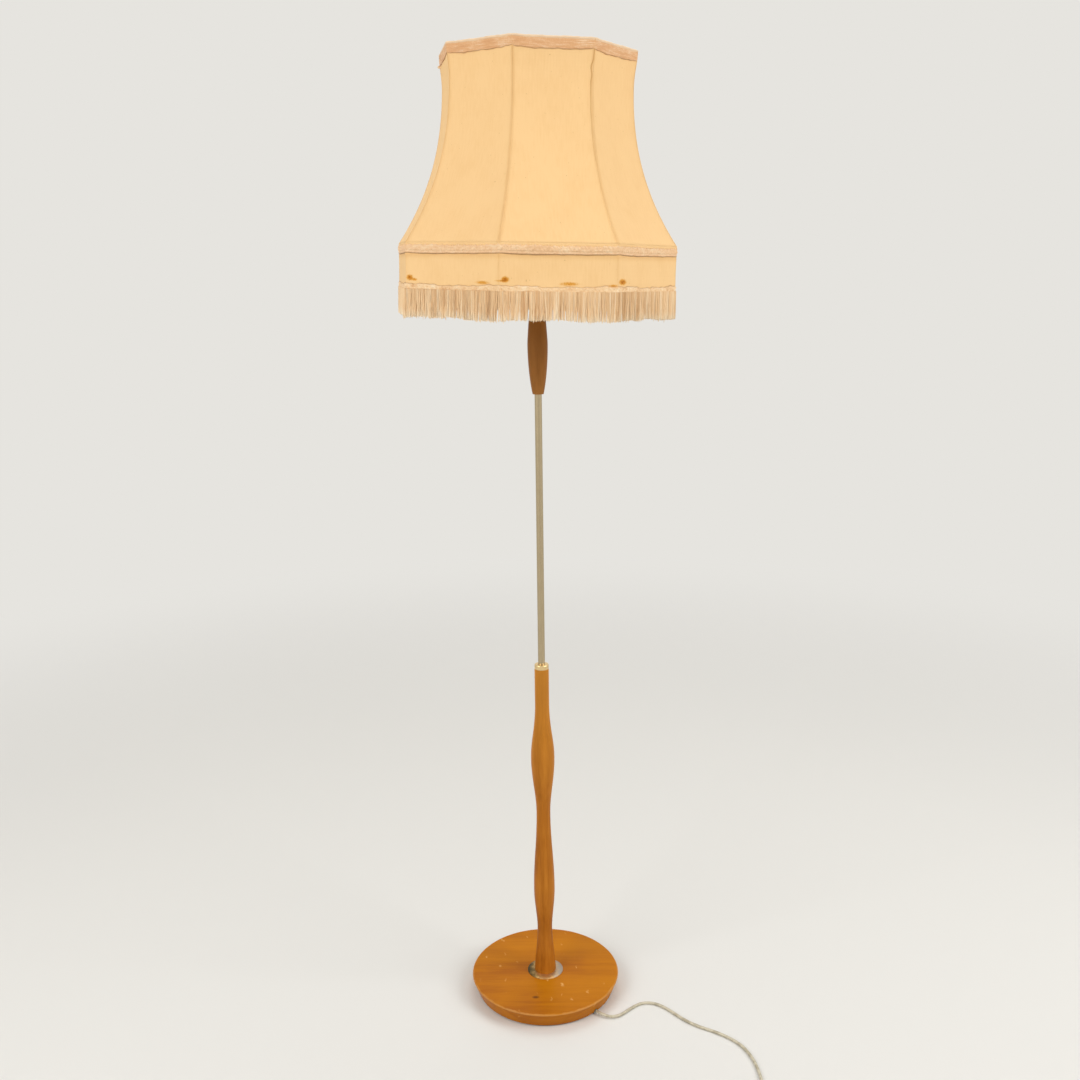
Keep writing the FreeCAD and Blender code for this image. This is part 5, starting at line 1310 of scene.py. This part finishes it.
@dataclass
class MainsCord:
    """The pale cord: along the floor, into a put-away coil and on to its plug."""

    material: bpy.types.Material
    radius: float = 0.0025
    centre: tuple[float, float] = (0.3195, -0.3350)
    outer: float = 0.03250
    inner: float = 0.02740
    levels: Sequence[float] = (0.00340, 0.00845, 0.01350, 0.01855)
    turns: int = 7
    steps: int = 16
    change_at: float = 0.80
    sooner: float = 0.105
    easing: float = 0.12

    def coil(self) -> np.ndarray:
        """Control points of the coil's turns.

        The turns fill eight cells, four high and two wide: the outer column's foot, up the
        inner column and down the outer one. A turn eases into the next cell over an eighth
        of a turn, the later turns sooner, so that no two ever share a place. The control
        points lie a little outside the turns, because the spline cuts inside them.

        Returns:
            An array of points.
        """
        cells = np.array([(self.outer, self.levels[0]), (self.inner, self.levels[0]),
                          (self.inner, self.levels[1]), (self.inner, self.levels[2]),
                          (self.inner, self.levels[3]), (self.outer, self.levels[3]),
                          (self.outer, self.levels[2]), (self.outer, self.levels[1])])
        place = np.arange(1, self.turns * self.steps) / self.steps
        turn = np.floor(place).astype(int)
        change = self.change_at - self.sooner * turn
        shift = np.clip((place - turn - change) / self.easing, 0, 1)
        shift = (shift * shift * (3 - 2 * shift))[:, None]
        cell = cells[turn] * (1 - shift) + cells[turn + 1] * shift
        reach = cell[:, 0] / (0.75 + 0.25 * math.cos(math.tau / self.steps))
        angle = -math.tau * place
        return np.stack([self.centre[0] + reach * np.cos(angle),
                         self.centre[1] + reach * np.sin(angle), cell[:, 1]], axis=1)

    def build(self, plug: Sequence[bpy.types.Object]) -> bpy.types.Object:
        """Make the cord as one smooth spline through its route, its coil and its end.

        Args:
            plug: the CAD pieces on it: its plug with the pins, and the coil's tie; not used.

        Returns:
            The cord.
        """
        points = np.concatenate([CORD_ROUTE, self.coil(), CORD_END])
        curve = bpy.data.curves.new("mains_cord_line", "CURVE")
        curve.dimensions = "3D"
        spline = curve.splines.new("NURBS")
        spline.points.add(len(points) - 1)
        spline.points.foreach_set("co", np.c_[points, np.ones(len(points))].reshape(-1))
        spline.order_u = 3
        spline.use_endpoint_u = True
        spline.resolution_u = 5
        curve.bevel_depth = self.radius
        curve.bevel_resolution = 3
        curve.use_fill_caps = True
        cord = bpy.data.objects.new("mains_cord_line", curve)
        bpy.context.scene.collection.objects.link(cord)
        finished(cord, Body.STAND, "flex_cover", self.material, "mains_cord", "cord_coil",
                 "cord_tail")
        return cord


# ------------------------------------------------------------------ the studio


class Light(Enum):
    """Soft square lights: place, width and power in watts. Each faces the lamp's middle."""

    KEY = ((-2.5, -2.3, 2.7), 2.2, 68.0)
    FILL = ((3.1, -1.3, 2.7), 2.2, 68.0)
    BACK = ((0.3, 2.0, 4.2), 2.2, 30.0)


@dataclass
class Studio:
    """A pale floor that rises into a pale wall all round, soft light and the camera."""

    lens: float = 38.245
    sensor: float = 36.0
    nearest: float = 0.05
    position: tuple[float, float, float] = (0.0, -1.89365, 1.30469)
    pitch: float = math.radians(90.0 - 13.423)
    roll: float = math.radians(-0.7214)
    aim: tuple[float, float, float] = (0.0, 0.0, 1.0)
    pale: str = "e6e4df"
    floor_radius: float = 6.0
    cove_radius: float = 2.5
    wall_top: float = 7.0
    shadow_to: float = 1.0
    plain_from: float = 3.2
    world_light: float = 0.6

    def camera(self) -> None:
        """Make the camera: level, turned down by its pitch, then rolled about its view."""
        data = bpy.data.cameras.new("camera")
        data.sensor_width = self.sensor
        data.lens = self.lens
        data.clip_start = self.nearest
        camera = bpy.data.objects.new("camera", data)
        bpy.context.scene.collection.objects.link(camera)
        turn = Matrix.Rotation(self.pitch, 4, "X") @ Matrix.Rotation(self.roll, 4, "Z")
        camera.matrix_world = Matrix.Translation(Vector(self.position)) @ turn
        bpy.context.scene.camera = camera

    def lights(self) -> None:
        """Hang the soft lights."""
        for kind in Light:
            place, width, power = kind.value
            data = bpy.data.lights.new(kind.name.lower(), "AREA")
            data.size = width
            data.energy = power
            light = bpy.data.objects.new(data.name, data)
            bpy.context.scene.collection.objects.link(light)
            light.location = place
            toward = Vector(self.aim) - Vector(place)
            light.rotation_euler = toward.to_track_quat("-Z", "Y").to_euler()

    @staticmethod
    def seen(tree: bpy.types.NodeTree) -> bpy.types.Node:
        """1 where the camera sees a surface, straight, in a metal or through glass.

        Args:
            tree: the node tree that asks.

        Returns:
            The node that gives it.
        """
        ray = add(tree, "LightPath").outputs
        seen = add(tree, "Math", {0: ray["Is Camera Ray"], 1: ray["Is Glossy Ray"]},
                   operation="MAXIMUM")
        return add(tree, "Math", {0: seen, 1: ray["Is Transmission Ray"]}, operation="MAXIMUM")

    def floor(self) -> None:
        """A round floor whose edge curves up into a wall, turned about the lamp's axis.

        Along the line from the middle outwards, the height is that of a quarter circle
        where the floor ends, and grows straight after it. Away from the lamp the paint shows
        at its own pale colour, and near the lamp it keeps the lamp's shadow.
        """
        reach, cove = self.floor_radius, self.cove_radius
        flat = np.stack([np.linspace(0.0, reach, 12), np.zeros(12)], axis=1)
        bend = np.linspace(0, math.pi / 2, 16)[1:]
        curved = np.stack([reach + cove * np.sin(bend), cove - cove * np.cos(bend)], axis=1)
        line = np.concatenate([flat, curved, [[reach + cove, self.wall_top]]])
        turn = np.linspace(0, math.tau, 96, endpoint=False)[None, :]
        points = np.stack([line[:, :1] * np.cos(turn), line[:, :1] * np.sin(turn),
                           line[:, 1:] + 0 * turn], axis=-1)
        piece = surface("studio_floor", points, closed_columns=True, flip=True)
        material = bpy.data.materials.new("matt_pale_paint")
        material.use_nodes = True
        tree = material.node_tree
        tree.nodes.clear()
        paint = add(tree, "BsdfPrincipled", {"Base Color": self.pale, "Roughness": 0.95,
                                             "Specular IOR Level": 0.1})
        glow = add(tree, "Emission", {"Color": self.pale, "Strength": 1.0})
        place = add(tree, "TexCoord").outputs["Object"]
        away = add(tree, "VectorMath", {0: place}, operation="LENGTH").outputs["Value"]
        far = add(tree, "MapRange", {0: away, 1: self.shadow_to, 2: self.plain_from},
                  interpolation_type="SMOOTHSTEP")
        far = add(tree, "Math", {0: far, 1: self.seen(tree)}, operation="MULTIPLY")
        both = add(tree, "MixShader", {0: far, 1: paint, 2: glow})
        add(tree, "OutputMaterial", {"Surface": both})
        piece.data.materials.append(material)

    def world(self) -> None:
        """Even light from all round, which shows as the wall's own pale colour."""
        world = bpy.data.worlds.new("studio")
        bpy.context.scene.world = world
        world.use_nodes = True
        tree = world.node_tree
        tree.nodes.clear()
        soft = add(tree, "Background", {"Color": "ffffff", "Strength": self.world_light})
        shown = add(tree, "Background", {"Color": self.pale, "Strength": 1.0})
        both = add(tree, "MixShader", {0: self.seen(tree), 1: soft, 2: shown})
        add(tree, "OutputWorld", {"Surface": both})

    def build(self) -> None:
        """Set up the camera, the light and the floor."""
        self.camera()
        self.lights()
        self.floor()
        self.world()
        bpy.context.scene.view_settings.view_transform = "Standard"


# ------------------------------------------------------------------ the whole lamp


@dataclass
class Lamp:
    """The whole lamp: finishes on the rigid pieces, then the soft pieces."""

    nodes: dict[str, bpy.types.Object]
    record: dict[str, Any]
    finishes: dict[str, bpy.types.Material] = field(default_factory=dict)

    def mix_finishes(self) -> None:
        """Make every finish once, by its record slot."""
        made = {
            "base_wood": WornBaseBoard("worn_varnished_beech_board"),
            "column_wood": TurnedBeech("orange_varnished_turned_beech"),
            "spindle_wood": TurnedBeech("brown_varnished_turned_beech", "74471a", "94602a",
                                        "a67034", "a06a34"),
            "iron_weight": CastIron("sand_cast_iron"),
            "felt": PressedFelt("pressed_green_wool_felt"),
            "steel_fixings": BareMetal("plain_steel", Metal.PLAIN_STEEL, 0.35),
            "spring_steel": BareMetal("drawn_spring_steel", Metal.SPRING_STEEL, 0.3),
            "rubber": Moulded("moulded_grey_rubber", "8d8570", "746c5a", 0.7),
            "flex_cover": Moulded("drawn_pvc_cord_sheath", "cdc4ac", "b3a990", 0.42),
            "polished_brass": BareMetal("polished_brass", Metal.POLISHED_BRASS, 0.3),
            "satin_tube": BareMetal("drawn_satin_brass_tube", Metal.SATIN_BRASS, 0.3, 0.2, True),
            "holder_brass": BareMetal("pressed_brass", Metal.PRESSED_BRASS, 0.28),
            "contact_brass": BareMetal("turned_contact_brass", Metal.PRESSED_BRASS, 0.35),
            "insulation": Moulded("moulded_brown_phenolic", "3b2416", "2c1a10", 0.28),
            "core_insulation": Moulded("drawn_core_sheath", "6b4a2c", "553820", 0.5),
            "bulb_glass": PearlGlass("blown_pearl_glass"),
            "bulb_metal": BareMetal("pressed_aluminium", Metal.PRESSED_ALUMINIUM, 0.35),
            "carrier_wire": BareMetal("brassed_steel_wire", Metal.PRESSED_BRASS, 0.3),
            "frame_wire": PaintedWire("white_dipped_wire"),
            "shade_fabric": StretchedCloth("apricot_rayon_satin"),
            "lining_fabric": StretchedCloth("cream_cotton_lining", "f4dcae", "e3c48e", "c9a269",
                                            Weave.LINING),
            "trim_braid": CottonBraid("plaited_cotton_gimp", "efc69a", "e2b486", "f8deb8",
                                      contrast=0.2),
            "fringe_yarn": FringeYarn("cut_cotton_fringe"),
            "tie_plastic": Moulded("moulded_black_nylon_tie", "2c2c2c", "202020", 0.5),
            "plug_plastic": Moulded("moulded_white_plug", "efece2", "e0dccf", 0.3),
            "plug_brass": BareMetal("pressed_pin_brass", Metal.PRESSED_BRASS, 0.3),
        }
        self.finishes = {slot: finish.build() for slot, finish in made.items()}

    def dress_nodes(self) -> None:
        """Give every CAD node the finish of its slot, without touching its mesh."""
        plate = PaintedReflectionPlate("brass_plate_with_painted_reflection").build()
        for part in self.record["subparts"]:
            piece = self.nodes[part["node"]]
            material = self.finishes[part["material_slot"]]
            piece.data.materials.clear()
            piece.data.materials.append(plate if part["node"] == "foot_plate" else material)
            LOG.info("%s is %s", part["node"], piece.data.materials[0].name)

    def trims(self) -> None:
        """Make the corded top tape, the furry gimp, the fringe's heading, knot and fringe."""
        gimp = self.finishes["trim_braid"]
        tape = CottonBraid("woven_pink_cotton_tape", "e3b080", "d49a6c", "f6dcba",
                           yarns=(30.0, 900.0, 1.0), contrast=0.3).build()
        heading = CottonBraid("gathered_cotton_heading", "f4cfa0", "dba877", "fbe3c0",
                              yarns=(160.0, 240.0, 1.0), contrast=0.4).build()
        # The braids' dark lines are painted shadows: under their lower edges, under the tape's
        # cord, in the gimp's groove and along the heading's top.
        Braid("top_tape", "top_trim", tape, 1.6070, 1.6240,
              ((0.0, 0.3), (0.06, 0.5), (0.78, 0.5), (0.84, 0.4), (0.9, 1.0), (0.96, 0.9),
               (1.0, 0.2)), 100, wave=(0.0012, 0.0005), lumps=0.08, pale_above=0.82,
              dark_lines=((0.0, 0.04, 0.45), (0.82, 0.03, 0.4))).build()
        Braid("flare_gimp", "flare_trim", gimp, 1.3210, 1.3335,
              ((0.0, 0.2), (0.05, 0.5), (0.28, 0.5), (0.36, 0.45), (0.45, 0.95), (0.82, 1.0),
               (0.93, 0.6), (1.0, 0.15)), 120, wave=(0.0006, 0.0008), lumps=0.32, fray=0.0012,
              dark_lines=((0.0, 0.09, 1.0), (0.36, 0.04, 0.3)), round_count=2400).build()
        Braid("fringe_gathering", "fringe_heading", heading, 1.2680, 1.2768,
              ((0.0, 0.3), (0.15, 0.9), (0.4, 0.7), (0.7, 0.95), (0.9, 0.6), (1.0, 0.2)), 140,
              wave=(0.0008, 0.0016), lumps=0.28, dark_lines=((1.0, 0.09, 0.75),),
              round_count=2400).build()
        LooseKnot(heading).build()
        Fringe(self.finishes["fringe_yarn"]).build()

    def build(self) -> None:
        """Dress the rigid pieces and make the soft ones."""
        self.mix_finishes()
        self.dress_nodes()
        plug = [self.nodes[name] for name in ("plug_body", "plug_pins", "coil_tie")]
        MainsCord(self.finishes["flex_cover"]).build(plug)
        cloth = self.finishes["shade_fabric"]
        # The seam's darker second colour is painted shade along the ribs.
        seam = StretchedCloth("apricot_satin_seam", "f4ca90", "d6a468").build()
        FlaredCover(cloth, seam).build()
        Collar(cloth).build()
        Lining(self.finishes["lining_fabric"]).build()
        self.trims()


def main() -> None:
    """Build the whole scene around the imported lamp."""
    logging.basicConfig(level=logging.INFO, format="%(message)s")
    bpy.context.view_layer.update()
    Studio().build()
    Lamp(frame["nodes"], frame["record"]).build()
    bpy.context.view_layer.update()


if __name__ == "__main__":
    main()
